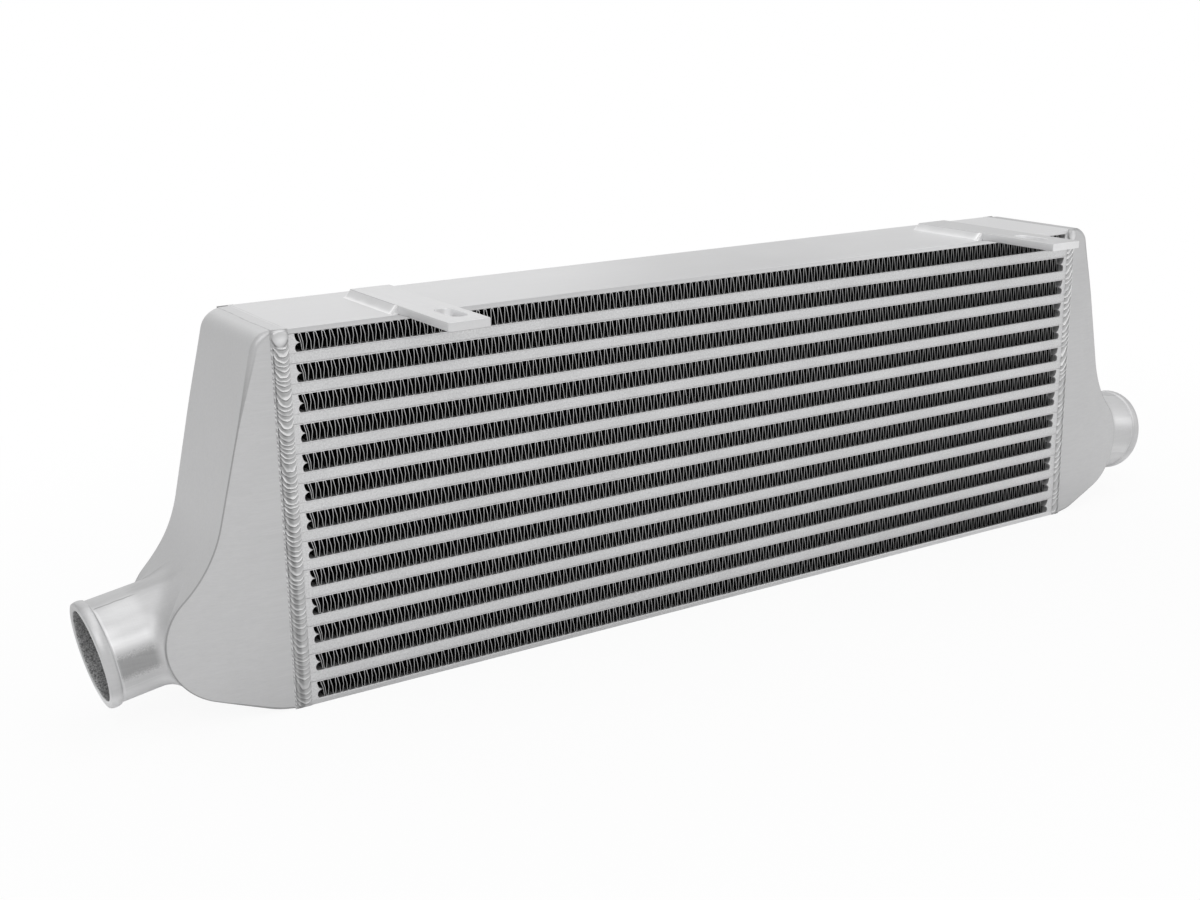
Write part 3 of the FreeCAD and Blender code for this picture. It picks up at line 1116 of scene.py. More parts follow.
class Outline:
    """Side outline of the right tank, a smooth line that can be asked anywhere."""

    def __init__(self, corners: Sequence[tuple[float, float, float]], step: float = 0.2 * MM) -> None:
        """Round the corners and keep close points.

        Args:
            corners: X, Z and radius of each corner, with the ends as corners of no radius.
            step: Distance between the points that are kept.
        """
        points: list[Vector] = []
        normals: list[Vector] = []
        cursor = Vector(corners[0][:2])
        for index in range(1, len(corners)):
            here = Vector(corners[index][:2])
            radius = corners[index][2]
            inward = (here - cursor).normalized()
            if radius > 0:
                after = (Vector(corners[index + 1][:2]) - here).normalized()
                turn = inward.angle(after)
                side = 1.0 if inward.x * after.y - inward.y * after.x > 0 else -1.0
                reach = radius * math.tan(turn / 2)
                self.run(points, normals, cursor, here - inward * reach, step)
                centre = here - inward * reach + side * radius * Vector((-inward.y, inward.x))
                count = max(2, int(radius * turn / step))
                for part in range(count + 1):
                    heading = Matrix.Rotation(side * turn * part / count, 2) @ inward
                    points.append(centre - side * radius * Vector((-heading.y, heading.x)))
                    normals.append(Vector((-heading.y, heading.x)))
                cursor = here + after * reach
            else:
                self.run(points, normals, cursor, here, step)
                cursor = here
        self.x = np.array([p.x for p in points])
        self.z = np.array([p.y for p in points])
        self.nx = np.array([n.x for n in normals])
        self.nz = np.array([n.y for n in normals])
        gaps = np.hypot(np.diff(self.x), np.diff(self.z))
        self.t = np.concatenate(([0.0], np.cumsum(gaps)))

    @staticmethod
    def run(points: list[Vector], normals: list[Vector], start: Vector, stop: Vector, step: float) -> None:
        """Add the points of a straight run."""
        way = stop - start
        if way.length < 1e-9:
            return
        count = max(1, int(way.length / step))
        facing = Vector((-way.y, way.x)).normalized()
        for part in range(count + 1):
            points.append(start + way * part / count)
            normals.append(facing)

    def at(self, t: float) -> tuple[float, float, float, float]:
        """Point and outward normal at a distance along the outline."""
        x, z, nx, nz = (float(np.interp(t, self.t, line)) for line in (self.x, self.z, self.nx, self.nz))
        length = math.hypot(nx, nz)
        return x, z, nx / length, nz / length


@dataclass
class TankSizes:
    """Sizes of an end tank, in metres, with X from the core's middle."""

    top_reach: float = 14.3 * MM
    corner_radius: float = 12 * MM
    foot_reach: float = 42.35 * MM
    foot_rise: float = 38.79 * MM
    foot_radius: float = 73.5 * MM
    nose_reach: float = 35.2 * MM
    nose_height: float = 43.41 * MM
    nose_radius: float = 32.9 * MM
    heel_reach: float = 11.1 * MM
    heel_flat: float = 0.06 * MM
    wall: float = 4 * MM
    stub_radius: float = 27 * MM
    stub_wall: float = 3 * MM
    root_reach: float = 39 * MM
    root_height: float = 47.4 * MM
    tilt_deg: float = 9.5
    mouth_reach: float = 97 * MM
    bead_width: float = 6 * MM
    bead_height: float = 1.2 * MM
    narrow_start: float = 290.2 * MM
    narrow_slope: float = 0.1524
    flank: float = 5 * MM
    even_from: float = 40.5 * MM
    patch_middle_deg: float = -69.0


class TankMesh:
    """Builds the mesh of the right tank in patches that share their edges."""

    APART = {"along": -40 * MM}
    COLUMNS = (-1.0, -0.985, -0.9, -0.75, -0.55, -0.35, -0.17, 0.0, 0.17, 0.35, 0.55, 0.75, 0.9, 0.985, 1.0)

    def __init__(self, sizes: TankSizes, core: CoreSizes) -> None:
        """Work out the outline and the stub's axis."""
        self.sizes = sizes
        self.core = core
        base = core.half_length
        self.centre = (base + sizes.nose_reach, sizes.nose_height)
        foot = (base + sizes.foot_reach, sizes.nose_height + sizes.foot_rise)
        heel = (base + sizes.heel_reach, 0.0)
        shoulder = self.tangent(foot, False)
        sole = self.tangent(heel, True)
        cross = shoulder[0] * sole[1] - shoulder[1] * sole[0]
        gap = (heel[0] - foot[0], heel[1] - foot[1])
        reach = (gap[0] * sole[1] - gap[1] * sole[0]) / cross
        tip = (foot[0] + shoulder[0] * reach, foot[1] + shoulder[1] * reach)
        heel_radius = (sizes.heel_reach - sizes.heel_flat) / math.tan(math.atan2(sole[1], sole[0]) / 2)
        self.outline = Outline(
            [
                (base, core.height, 0.0),
                (base + sizes.top_reach, core.height, sizes.corner_radius),
                (foot[0], foot[1], sizes.foot_radius),
                (tip[0], tip[1], sizes.nose_radius),
                (heel[0], heel[1], heel_radius),
                (base, 0.0, 0.0),
            ]
        )
        tilt = math.radians(sizes.tilt_deg)
        self.axis = Vector((math.cos(tilt), 0.0, -math.sin(tilt)))
        self.rise = Vector((math.sin(tilt), 0.0, math.cos(tilt)))
        self.origin = Vector((base + sizes.root_reach, 0.0, sizes.root_height))
        self.vertices: list[Vector] = []
        self.faces: list[list[int]] = []
        # crease and bore mark where the tank's material paints shade; along and around place the stub's marks and
        # painted reflections.
        self.marks: dict[str, list[float]] = {"crease": [], "bore": [], "along": [], "around": []}

    def tangent(self, outside: Pair, lower: bool) -> Pair:
        """Direction from a point to where a line touches the nose's circle."""
        across = self.centre[0] - outside[0]
        up = self.centre[1] - outside[1]
        base = math.atan2(up, across)
        swing = math.asin(self.sizes.nose_radius / math.hypot(across, up))
        angle = base - swing if lower else base + swing
        return math.cos(angle), math.sin(angle)

    def vertex(self, place: Vector, **marks: float) -> int:
        """Add a point with its marks and return its number."""
        self.vertices.append(place)
        for name, line in self.marks.items():
            line.append(marks.get(name, self.APART.get(name, 0.0)))
        return len(self.vertices) - 1

    def patch(self, rows: Sequence[Sequence[int]], closed: bool, flip: bool) -> None:
        """Join rows of points to quads.

        Args:
            rows: Point numbers, row by row, all rows equally long.
            closed: True where each row is a ring.
            flip: True to turn the faces the other way.
        """
        for upper, lower in zip(rows, rows[1:]):
            count = len(upper)
            for index in range(count if closed else count - 1):
                after = (index + 1) % count
                face = [upper[index], lower[index], lower[after], upper[after]]
                self.faces.append(face[::-1] if flip else face)

    def edge_radius(self, t: float, side: float, inset: float) -> float:
        """Rounding of the outline's edge: crisp in front, softer behind and round the top corner."""
        if inset > 0:
            return 0.6 * MM
        x, z, _, _ = self.outline.at(t)
        start = step_between(x - self.core.half_length, 0.5 * MM, 12 * MM)
        soft = step_between(z, 146 * MM, 194 * MM)
        sole = 1.0 - step_between(z, 2 * MM, 12 * MM)
        plain = 0.7 * MM
        if side > 0:
            plain += 2.1 * MM * step_between(z, 66 * MM, 88 * MM)
        return plain + (2.5 * MM * soft + 0.9 * MM * sole) * start

    def fillet_radius(self, phi: float) -> float:
        """Radius of the hollow between stub and tank at an angle from the stub's top."""
        angle = abs(wrapped(math.degrees(phi)))
        side = min(1.0, angle / 85.0)
        low = max(0.0, min(1.0, (angle - 95.0) / 85.0))
        behind = step_between(math.sin(phi), 0.05, 0.55)
        wanted = (20.0 - 9.0 * behind * (1.0 - low) - 6.0 * side * side + low * low * (3 - 2 * low)) * MM
        beside = abs(math.sin(phi))
        if beside <= 0.05:
            return wanted
        # The narrow front and rear faces leave less room beside the stub.
        room = (self.sizes.stub_radius + 2.0 * MM) / beside - self.sizes.stub_radius
        return (wanted ** -4 + room ** -4) ** -0.25

    def outward(self, phi: float) -> Vector:
        """Direction away from the stub's axis at an angle from its top."""
        return self.rise * math.cos(phi) + Vector((0.0, math.sin(phi), 0.0))

    def turned(self, phi: float) -> float:
        """An angle from the stub's top as degrees from the middle of the turned patch."""
        return wrapped(math.degrees(phi) - self.sizes.patch_middle_deg)

    def wall_contact(self, phi: float, radius: float, inset: float) -> tuple[float, float, Vector, Vector]:
        """Where a ball rolling round the stub touches the tank's wall.

        Args:
            phi: Angle round the stub's axis from its top.
            radius: Radius of the tube.
            inset: Distance of the wall inside the outline. The inner wall is met without a hollow.

        Returns:
            Distance along the outline, Y of the contact, centre of the ball and the wall's normal.
        """
        line = self.outline
        fillet = 0.0 if inset else self.fillet_radius(phi)
        off = fillet - inset
        px = line.x + line.nx * off - self.origin.x
        pz = line.z + line.nz * off - self.origin.z
        s = px * self.axis.x + pz * self.axis.z
        h = px * self.rise.x + pz * self.rise.z
        target = (radius + fillet) * math.cos(phi)
        signs = np.sign(h - target)
        hits = [k for k in range(len(h) - 1) if signs[k] != signs[k + 1] and s[k] > 0]
        best = max(hits, key=lambda k: s[k])
        share = (h[best] - target) / (h[best] - h[best + 1])
        t = float(line.t[best] + share * (line.t[best + 1] - line.t[best]))
        reach = float(s[best] + share * (s[best + 1] - s[best]))
        ball = self.origin + self.axis * reach + self.outward(phi) * (radius + fillet)
        _, _, nx, nz = line.at(t)
        return t, ball.y, ball, Vector((nx, 0.0, nz))

    def shell(self, inset: float, tube: float, flip: bool) -> tuple[list[float], list[int], list[float]]:
        """Add the tank's wall, edges and flat faces with a round hole for the stub.

        Args:
            inset: Distance inside the outer surface.
            tube: Radius of the tube that leaves through the hole.
            flip: True for the inner surface, whose faces look inwards.

        Returns:
            Angles of the hole's ring, its point numbers on the tube and their places along the stub.
        """
        stations = self.stations(inset, tube)
        columns = [self.column_points(t, inset) for t in stations["t"]]
        first, last = stations["hole"]
        self.patch(columns[: first + 1], False, not flip)
        self.patch(columns[last:], False, not flip)
        self.flat_faces(stations["t"], columns, inset, flip)
        outer, loop = self.hole_border(columns, stations["t"], first, last, inset)
        return self.hole(outer, loop, inset, tube, flip)

    def hole_ends(self, inset: float, tube: float) -> Pair:
        """Distances along the outline where the hole starts above the stub and ends below it."""
        return self.wall_contact(0.0, tube, inset)[0], self.wall_contact(math.pi, tube, inset)[0]

    def stations(self, inset: float, tube: float) -> dict[str, Any]:
        """Distances along the outline for the rows of the wall, and those that frame the hole."""
        ends = self.hole_ends(inset, tube)
        margin = 5 * MM
        low, high = ends[0] - margin, ends[1] + margin
        line = self.outline
        turning = np.abs(np.diff(np.unwrap(np.arctan2(line.nz, line.nx))))
        weight = np.concatenate(([0.0], np.cumsum(turning / math.radians(5.0) + np.diff(line.t) / (7 * MM))))

        def spread(start: float, stop: float) -> list[float]:
            """Places between two distances, closer together where the outline bends."""
            a, b = np.interp((start, stop), line.t, weight)
            count = max(2, int(math.ceil(b - a)))
            return [float(v) for v in np.interp(np.linspace(a, b, count + 1), weight, line.t)]

        above = spread(0.0, low)
        middle = spread(low, high)
        below = spread(high, float(line.t[-1]))
        return {"t": above + middle[1:-1] + below, "hole": (len(above) - 1, len(above) + len(middle) - 2)}

    def surface(self, t: float, y: float, inset: float) -> Vector:
        """Point of the wall at a distance along the outline and across it."""
        x, z, nx, nz = self.outline.at(t)
        return Vector((x - nx * inset, y, z - nz * inset))

    def half_at(self, x: float, inset: float) -> float:
        """Distance from the middle to the front and rear face, which narrow towards the stub."""
        return self.core.half_depth - inset - self.sizes.narrow_slope * max(0.0, x - self.sizes.narrow_start)

    def wall_y(self, t: float, share: float, inset: float) -> float:
        """Y of a wall point at a share of the way from the middle to the rounded edge."""
        x = self.outline.at(t)[0]
        return share * (self.half_at(x, inset) - self.edge_radius(t, share, inset))

    def column_points(self, t: float, inset: float) -> list[int]:
        """One row of wall points from front to rear at a distance along the outline."""
        places = [self.surface(t, self.wall_y(t, share, inset), inset) for share in self.COLUMNS]
        return [self.vertex(place, bore=float(inset > 0)) for place in places]

    def flat_faces(
        self, stations: Sequence[float], columns: Sequence[Sequence[int]], inset: float, flip: bool
    ) -> None:
        """Add the rounded edges and the flat front and rear faces."""
        steps = 6
        spread = 9
        length = stations[-1]
        for side in (-1.0, 1.0):
            rows: list[list[int]] = [[column[0 if side < 0 else -1] for column in columns]]
            for step in range(1, steps + 2):
                row = []
                for t in stations:
                    radius = self.edge_radius(t, side, inset)
                    angle = min(step / steps, 1.0) * math.pi / 2
                    deep = inset + radius * (1 - math.cos(angle)) + (0.7 * MM if step > steps else 0.0)
                    place = self.surface(t, 0.0, deep)
                    # At the joint with the core the edge stays in the joint's plane.
                    if t in (stations[0], stations[-1]):
                        place.x = self.core.half_length
                    base = self.half_at(self.outline.at(t)[0], inset)
                    place.y = side * (base - radius * (1 - math.sin(angle)))
                    # The crease value paints shade along the crisp edge, fading where the edge rounds off.
                    crisp = max(0.0, min(1.0, 1.0 - (radius - 0.8 * MM) / (3.2 * MM)))
                    line = float(step < steps and inset == 0 and stations[0] < t < stations[-1])
                    if step == steps - 1:
                        crisp = max(crisp, 0.7 - 0.7 * step_between(place.z, 180 * MM, 190 * MM))
                    row.append(self.vertex(place, crease=line * crisp, bore=float(inset > 0)))
                rows.append(row)
            rim = [self.vertices[k].copy() for k in rows[-1]]
            for part in range(1, spread + 1):
                share = part / spread
                row = []
                for t, start in zip(stations, rim):
                    height = rim[0].z + (rim[-1].z - rim[0].z) * t / length
                    x = start.x + (self.core.half_length - start.x) * share
                    z = start.z + (height - start.z) * share
                    place = Vector((x, side * self.half_at(x, inset), z))
                    row.append(self.vertex(place, bore=float(inset > 0)))
                rows.append(row)
            self.patch(rows, False, (side < 0) != flip)

    def hole_border(
        self, columns: Sequence[Sequence[int]], stations: Sequence[float], first: int, last: int, inset: float
    ) -> tuple[list[int], list[Pair]]:
        """The wall points that frame the hole, as numbers and as (distance, Y)."""
        ids: list[int] = []
        places: list[Pair] = []

        def add(row: int, column: int) -> None:
            """Add one framing point."""
            t = stations[row]
            ids.append(columns[row][column])
            places.append((t, self.wall_y(t, self.COLUMNS[column], inset)))

        width = len(self.COLUMNS)
        middle = width // 2
        for column in range(middle, width - 1):
            add(first, column)
        for row in range(first, last):
            add(row, width - 1)
        for column in range(width - 1, 0, -1):
            add(last, column)
        for row in range(last, first, -1):
            add(row, 0)
        for column in range(middle):
            add(first, column)
        return ids, places

    def hole(
        self, outer: Sequence[int], border: Sequence[Pair], inset: float, tube: float, flip: bool
    ) -> tuple[list[float], list[int], list[float]]:
        """Fill from the framing points to the hole, then round over to the tube."""
        top, bottom = self.hole_ends(inset, tube)
        middle, reach = (top + bottom) / 2, (bottom - top) / 2
        half = self.core.half_depth - inset
        angles = [math.atan2(y / half, -(t - middle) / reach) for t, y in border]
        contacts = [self.wall_contact(phi, tube, inset) for phi in angles]
        rings = [list(outer)]
        for part in range(1, 6):
            share = part / 5
            ring = []
            for (t0, y0), (t1, y1, _, _) in zip(border, contacts):
                place = self.surface(t0 + (t1 - t0) * share, y0 + (y1 - y0) * share, inset)
                ring.append(self.vertex(place, bore=float(inset > 0)))
            rings.append(ring)
        steps = 0 if inset else 9
        for part in range(1, steps + 1):
            ring = []
            for phi, (_, _, ball, normal) in zip(angles, contacts):
                away = (-normal).slerp(-self.outward(phi), part / steps)
                place = ball + away * self.fillet_radius(phi)
                # Beside the stub the hollow runs out in a long gentle flank.
                place += self.axis * (self.sizes.flank * math.sin(phi) ** 4 * (1.0 + away.dot(self.axis)))
                ring.append(self.stub_vertex(place, phi))
            rings.append(ring)
        self.patch(rings, True, flip)
        return angles, rings[-1], [(self.vertices[k] - self.origin).dot(self.axis) for k in rings[-1]]

    def tube(
        self,
        angles: Sequence[float],
        outer: Sequence[int],
        outer_s: Sequence[float],
        inner: Sequence[int],
        inner_angles: Sequence[float],
        inner_s: Sequence[float],
    ) -> None:
        """Add the stub from the outer hollow over bead and rim to the bore inside.

        Args:
            angles: Angles of the outer hole's ring from the stub's top.
            outer: Point numbers of that ring.
            outer_s: Places of its points along the stub.
            inner: Point numbers of the inner hole's ring.
            inner_angles: Their angles.
            inner_s: Their places along the stub.
        """
        sizes = self.sizes
        mouth = (sizes.mouth_reach - sizes.root_reach) / math.cos(math.radians(sizes.tilt_deg))
        r = sizes.stub_radius
        bead = mouth - sizes.bead_width
        profile = [
            (sizes.even_from, r),
            (sizes.even_from + 4 * MM, r),
            (bead - 1.0 * MM, r),
            (bead - 0.4 * MM, r - 0.08 * MM),
            (bead - 0.15 * MM, r - 0.08 * MM),
            (bead + 0.1 * MM, r + 0.05 * MM),
        ]
        for part in range(13):
            share = part / 12
            angle = math.pi * (0.12 + 0.76 * share)
            place = bead + 0.5 * MM + (mouth - bead - 0.9 * MM) * share
            profile.append((place, r + sizes.bead_height * math.sin(angle) ** 0.55))
        profile += [
            (mouth - 0.15 * MM, r + 0.10 * MM),
            (mouth, r - 0.45 * MM),
            (mouth, r - 1.5 * MM),
            (mouth, r - 2.3 * MM),
            (mouth - 0.25 * MM, r - 2.8 * MM),
            (mouth - 0.8 * MM, r - 3.0 * MM),
        ]
        rings = [list(outer)]
        for share in (0.35, 0.7):
            between = [s + (sizes.even_from - s) * share for s in outer_s]
            rings.append([self.on_tube(phi, s, r) for phi, s in zip(angles, between)])
        for s, radius in profile:
            mark = 1.0 if s < mouth and radius <= r - 2.9 * MM else 0.0
            rings.append([self.on_tube(phi, s, radius, bore=mark) for phi in angles])
        deep = max(inner_s) + 2 * MM
        bore = r - sizes.stub_wall
        for s in (mouth - 3 * MM, mouth - 7 * MM, (mouth + deep) / 2, deep):
            rings.append([self.on_tube(phi, s, bore, bore=1.0) for phi in angles])
        self.patch(rings, True, False)
        self.zip_rings(rings[-1], angles, inner, inner_angles)

    def stub_vertex(self, place: Vector, phi: float, **marks: float) -> int:
        """Add a point of the stub's outside or bore, with its place along the stub and round it."""
        away = self.turned(phi)
        along = (place - self.origin).dot(self.axis) if abs(away) < 150.0 else self.APART["along"]
        return self.vertex(place, along=along, around=away, **marks)

    def on_tube(self, phi: float, s: float, radius: float, **marks: float) -> int:
        """Add a point round the stub's axis."""
        return self.stub_vertex(self.origin + self.axis * s + self.outward(phi) * radius, phi, **marks)

    def zip_rings(
        self,
        first: Sequence[int],
        first_angles: Sequence[float],
        second: Sequence[int],
        second_angles: Sequence[float],
    ) -> None:
        """Join two rings of different counts with triangles, in step with their angles."""

        def unrolled(angles: Sequence[float]) -> list[float]:
            """Angles that only grow, one round long."""
            out = [angles[0]]
            for value in angles[1:]:
                step = (value - out[-1] + math.pi) % (2 * math.pi) - math.pi
                out.append(out[-1] + step)
            return out + [out[0] + 2 * math.pi]

        a, b = unrolled(first_angles), unrolled(second_angles)
        i = j = 0
        n, m = len(first), len(second)
        while i < n or j < m:
            if j >= m or (i < n and a[i + 1] <= b[j + 1]):
                self.faces.append([first[i % n], second[j % m], first[(i + 1) % n]])
                i += 1
            else:
                self.faces.append([first[i % n], second[j % m], second[(j + 1) % m]])
                j += 1

    def mesh(self) -> bpy.types.Mesh:
        """Build the closed mesh of the tank."""
        sizes = self.sizes
        angles, outer, outer_s = self.shell(0.0, sizes.stub_radius, False)
        inner_angles, inner, inner_s = self.shell(sizes.wall, sizes.stub_radius - sizes.stub_wall, True)
        self.tube(angles, outer, outer_s, inner, inner_angles, inner_s)
        made = bpy.data.meshes.new("tank_right")
        made.from_pydata([v[:] for v in self.vertices], [], self.faces)
        for name, line in self.marks.items():
            layer = made.attributes.new(name, "FLOAT", "POINT")
            layer.data.foreach_set("value", line)
        with edited(made) as work:
            bmesh.ops.remove_doubles(work, verts=work.verts[:], dist=2e-6)
            open_edges = [edge for edge in work.edges if edge.is_boundary]
            if open_edges:
                bmesh.ops.bridge_loops(work, edges=open_edges)
            bmesh.ops.recalc_face_normals(work, faces=work.faces[:])
        made.validate()
        return made


@dataclass
class EndTanks:
    """Both end tanks with their stubs."""

    core: CoreSizes
    sizes: TankSizes = field(default_factory=TankSizes)

    def build(self, finish: bpy.types.Material) -> None:
        """Build the right tank and mirror it to the left."""
        right = TankMesh(self.sizes, self.core).mesh()
        left = mirrored(right, "tank_left", 0)
        place_mesh(smooth(right, 50), "cast_right_tank", finish, ["right_tank"])
        place_mesh(smooth(left, 50), "cast_left_tank", finish, ["left_tank"])


# Welds


@dataclass(frozen=True)
class BeadRun:
    """How one bead was laid: its place and width, the shape of its ripples and the strength of their painted
    highlights and shade.
    """

    pitch: float
    sag: float
    width: float
    middle: float
    seed: float
    skew: float = 0.0
    smooth_from: float = 0.03
    painted_shine: float = 0.6
    groove_shade: float = 0.0
    lean: float = 0.0
    scallops: float = 1.0


@dataclass
class TankWelds:
    """The upright rippled beads between core and tanks."""

    core: CoreSizes
    height: float = 1.9 * MM
    ripple: float = 0.95 * MM
    columns: int = 31
    rows: int = 860

    def tree(self) -> GrowthTree:
        """Build the tree that lays one bead of overlapping ripples."""
        growth = GrowthTree(
            "rippled_bead",
            {
                "Length": self.core.height,
                "Width": 9.6 * MM,
                "Height": self.height,
                "Pitch": 2.6 * MM,
                "Ripple": self.ripple,
                "Sag": 3.0 * MM,
                "Skew": 0.0,
                "Smooth from": 0.1,
                "Shine": 0.6,
                "Pits": 0.0,
                "Scallops": 1.0,
                "Lean": 0.0,
                "Middle": 0.0,
                "Face": 0.0,
                "Seed": 0.0,
            },
        )
        maker, given = growth.maker, growth.given
        grid = maker.node(
            "GeometryNodeMeshGrid",
            {"Size X": 2.0, "Size Y": 1.0, "Vertices X": self.columns, "Vertices Y": self.rows},
        )
        u, v, _ = maker.split(maker.node("GeometryNodeInputPosition").outputs[0])
        up = (v + 0.5) * given("Length")
        seed = given("Seed")
        # The bead proper fills most of the width; a narrow second row lies on the tank's side.
        main = (u - 0.14) / 0.86
        dome = (1.0 - main * main).at_least(0.0).root()
        drift = maker.noise(maker.join(up * 80, seed, 0.0), 1.0, 2.0) - 0.5
        wobble = maker.noise(maker.join(u * 1.5, up * 260, seed), 1.0, 1.0) - 0.5
        hang = up - given("Sag") * main.size().power(2.5) + given("Skew") * main
        phase = hang / given("Pitch") + drift * 3.0 + wobble * 0.5
        cell = phase % 1.0
        each = maker.noise(maker.join(phase.floor() * 2.3, seed, u * 0.9), 1.0, 0.0).ramp(0.3, 0.7)
        # Each ripple is a scale: steep below, where it overlaps, and long above.
        lobe = cell.ramp(0.0, 0.22) * (1.0 - cell).power(0.8)
        stirred = maker.noise(maker.join(up * 34, seed, 3.0), 1.0, 1.0) - 0.5
        smooth_from = given("Smooth from")
        calm = 0.52 + 0.48 * (up + stirred * 0.06).ramp(smooth_from - 0.035, smooth_from + 0.02)
        body = dome.power(0.8) * given("Height") * 0.66
        body = body + (lobe - 0.4) * given("Ripple") * calm * dome.power(0.3)
        second = u.near(-0.86, 0.14)
        second_cell = (phase + 0.55 + u * 0.8) % 1.0
        second_lobe = second_cell.ramp(0.0, 0.25) * (1.0 - second_cell).power(0.6)
        scallops = given("Scallops")
        body = body + second * (0.55 + (second_lobe - 0.2) * scallops) * given("Ripple") * 0.85 * calm
        # A round ball closes the bead at the top.
        top = up.ramp(self.core.height - 9.6 * MM, self.core.height - 7.6 * MM)
        ball_up = (up - (self.core.height - 4.4 * MM)) / (4.7 * MM)
        ball_across = (u - 0.06) * (1.04 - ball_up * 0.26)
        inside = (1.0 - ball_across * ball_across - ball_up * ball_up).at_least(0.0)
        ball = inside.power(0.42)
        body = body * (1.0 - top) + ball * given("Height") * 1.15 * top
        ends = up.ramp(0.0, 2.2 * MM) * up.fall(self.core.height - 1.0 * MM, self.core.height)
        height = (body * ends).at_least(0.05 * MM) * u.size().fall(0.985, 0.995)
        half = given("Width") * 0.5
        uneven = maker.noise(maker.join(up * 70, seed, 9.0), 1.0, 1.0) - 0.5
        toe = 0.95 + (lobe - 0.5) * 0.07 * calm + 0.10 * uneven
        x = given("Middle") + given("Lean") * (1.0 - up / given("Length")) - u * half * toe
        # Painted highlight where a scale's lower lip stands out, painted shade in the groove under it, and more
        # painted shade towards the tank's side.
        lip = cell.ramp(0.02, 0.20) * cell.fall(0.26, 0.62)
        groove = cell.fall(0.0, 0.10) + cell.ramp(0.93, 1.0)
        core_side = main.ramp(-0.6, 0.5)
        painted_shine = given("Shine")
        shade = 0.10 + 0.20 * painted_shine + 0.24 * core_side
        shade = shade + (lip * (0.45 + 0.95 * each) * painted_shine - groove * (0.45 + 0.40 * each)) * calm
        # Painted shade in the grooves towards the core's side, and in the trench before the second row.
        groove_shaded = main.ramp(0.25, 0.9) * (cell.fall(0.0, 0.12) + cell.ramp(0.70, 0.95))
        shade = shade - given("Pits") * groove_shaded - u.near(-0.66, 0.09) * 0.18 * scallops
        # Painted highlight in the ball's middle and painted shade round its rim; painted highlights and shade on
        # the second row's scallops.
        rim = ball.near(0.30, 0.30, 0.2) * ball_up.fall(-0.25, 0.35)
        second_row = second * (1.0 - top) * (1.05 + (second_lobe * 1.9 - 1.33) * scallops)
        crest = shade * (1.0 - top) * (1.0 - second) + top * (0.42 + 0.80 * inside - rim * 0.65) + second_row
        # Painted shade runs down the bead on the tank's side, deeper lower down.
        flank = main.near(-0.38, 0.52, 0.25) * up.fall(0.08, 0.185)
        marked = growth.kept(growth.kept(grid.outputs[0], "crest", crest), "flank", flank)
        placed = maker.node(
            "GeometryNodeSetPosition",
            {"Geometry": marked, "Position": maker.join(x, given("Face") - height, up)},
        )
        growth.close(placed.outputs[0])
        return growth

    def bead(self, growth: GrowthTree, name: str, finish: bpy.types.Material, run: BeadRun) -> bpy.types.Mesh:
        """Lay a bead as on the right front and close its back flat on the core's face.

        Args:
            growth: The tree that lays a bead.
            name: Name of the new mesh.
            finish: Material of the bead.
            run: How this bead was laid.

        Returns:
            The closed mesh.
        """
        mesh = growth.grow(
            name,
            {
                "Width": run.width,
                "Middle": self.core.half_length + run.middle,
                "Face": -self.core.half_depth,
                "Pitch": run.pitch,
                "Sag": run.sag,
                "Skew": run.skew,
                "Smooth from": run.smooth_from,
                "Shine": run.painted_shine,
                "Pits": run.groove_shade,
                "Scallops": run.scallops,
                "Lean": run.lean,
                "Seed": run.seed,
                "Finish": finish,
            },
        )
        with edited(mesh) as work:
            ring = {v.index: v for edge in work.edges if edge.is_boundary for v in edge.verts}.values()
            low = [v for v in ring if v.co.z < 1e-6]
            high = [v for v in ring if v.co.z > self.core.height - 1e-6]
            between = sorted((v for v in ring if v not in low and v not in high), key=lambda v: v.co.z)
            tank_side = [v for v in between if v.co.x > self.core.half_length]
            core_side = [v for v in between if v.co.x <= self.core.half_length]
            for (a, b), (c, d) in zip(zip(tank_side, tank_side[1:]), zip(core_side, core_side[1:])):
                work.faces.new((a, b, d, c))
            for end, k in ((low, 0), (high, -1)):
                work.faces.new(sorted(end, key=lambda v: v.co.x) + [tank_side[k], core_side[k]])
            bmesh.ops.recalc_face_normals(work, faces=work.faces[:])
        return mesh

    def build(self, finish: bpy.types.Material) -> None:
        """Lay front and rear beads on both sides."""
        growth = self.tree()
        runs = {
            "right": BeadRun(
                pitch=4.4 * MM,
                sag=1.0 * MM,
                width=7.2 * MM,
                middle=0.1 * MM,
                seed=3.0,
                skew=4.0 * MM,
                smooth_from=0.12,
                painted_shine=1.3,
                groove_shade=0.2,
                lean=2.4 * MM,
                scallops=0.0,
            ),
            "left": BeadRun(
                pitch=2.8 * MM,
                sag=2.8 * MM,
                width=9.8 * MM,
                middle=2.2 * MM,
                seed=14.0,
                skew=0.6 * MM,
                smooth_from=0.085,
                painted_shine=1.05,
            ),
        }
        for name, run in runs.items():
            front = self.bead(growth, name + "_front_bead", finish, run)
            behind = BeadRun(2.8 * MM, 2.4 * MM, 9.6 * MM, 1.0 * MM, run.seed + 5.0)
            rear = mirrored(self.bead(growth, name + "_rear_bead", finish, behind), name + "_rear", 1)
            both = joined((front, rear), name + "_tank_beads")
            if name == "left":
                both = mirrored(both, name + "_tank_beads", 0)
            place_mesh(smooth(both, 75), name + "_rippled_beads", finish, [name + "_tank_weld"])


# Brackets


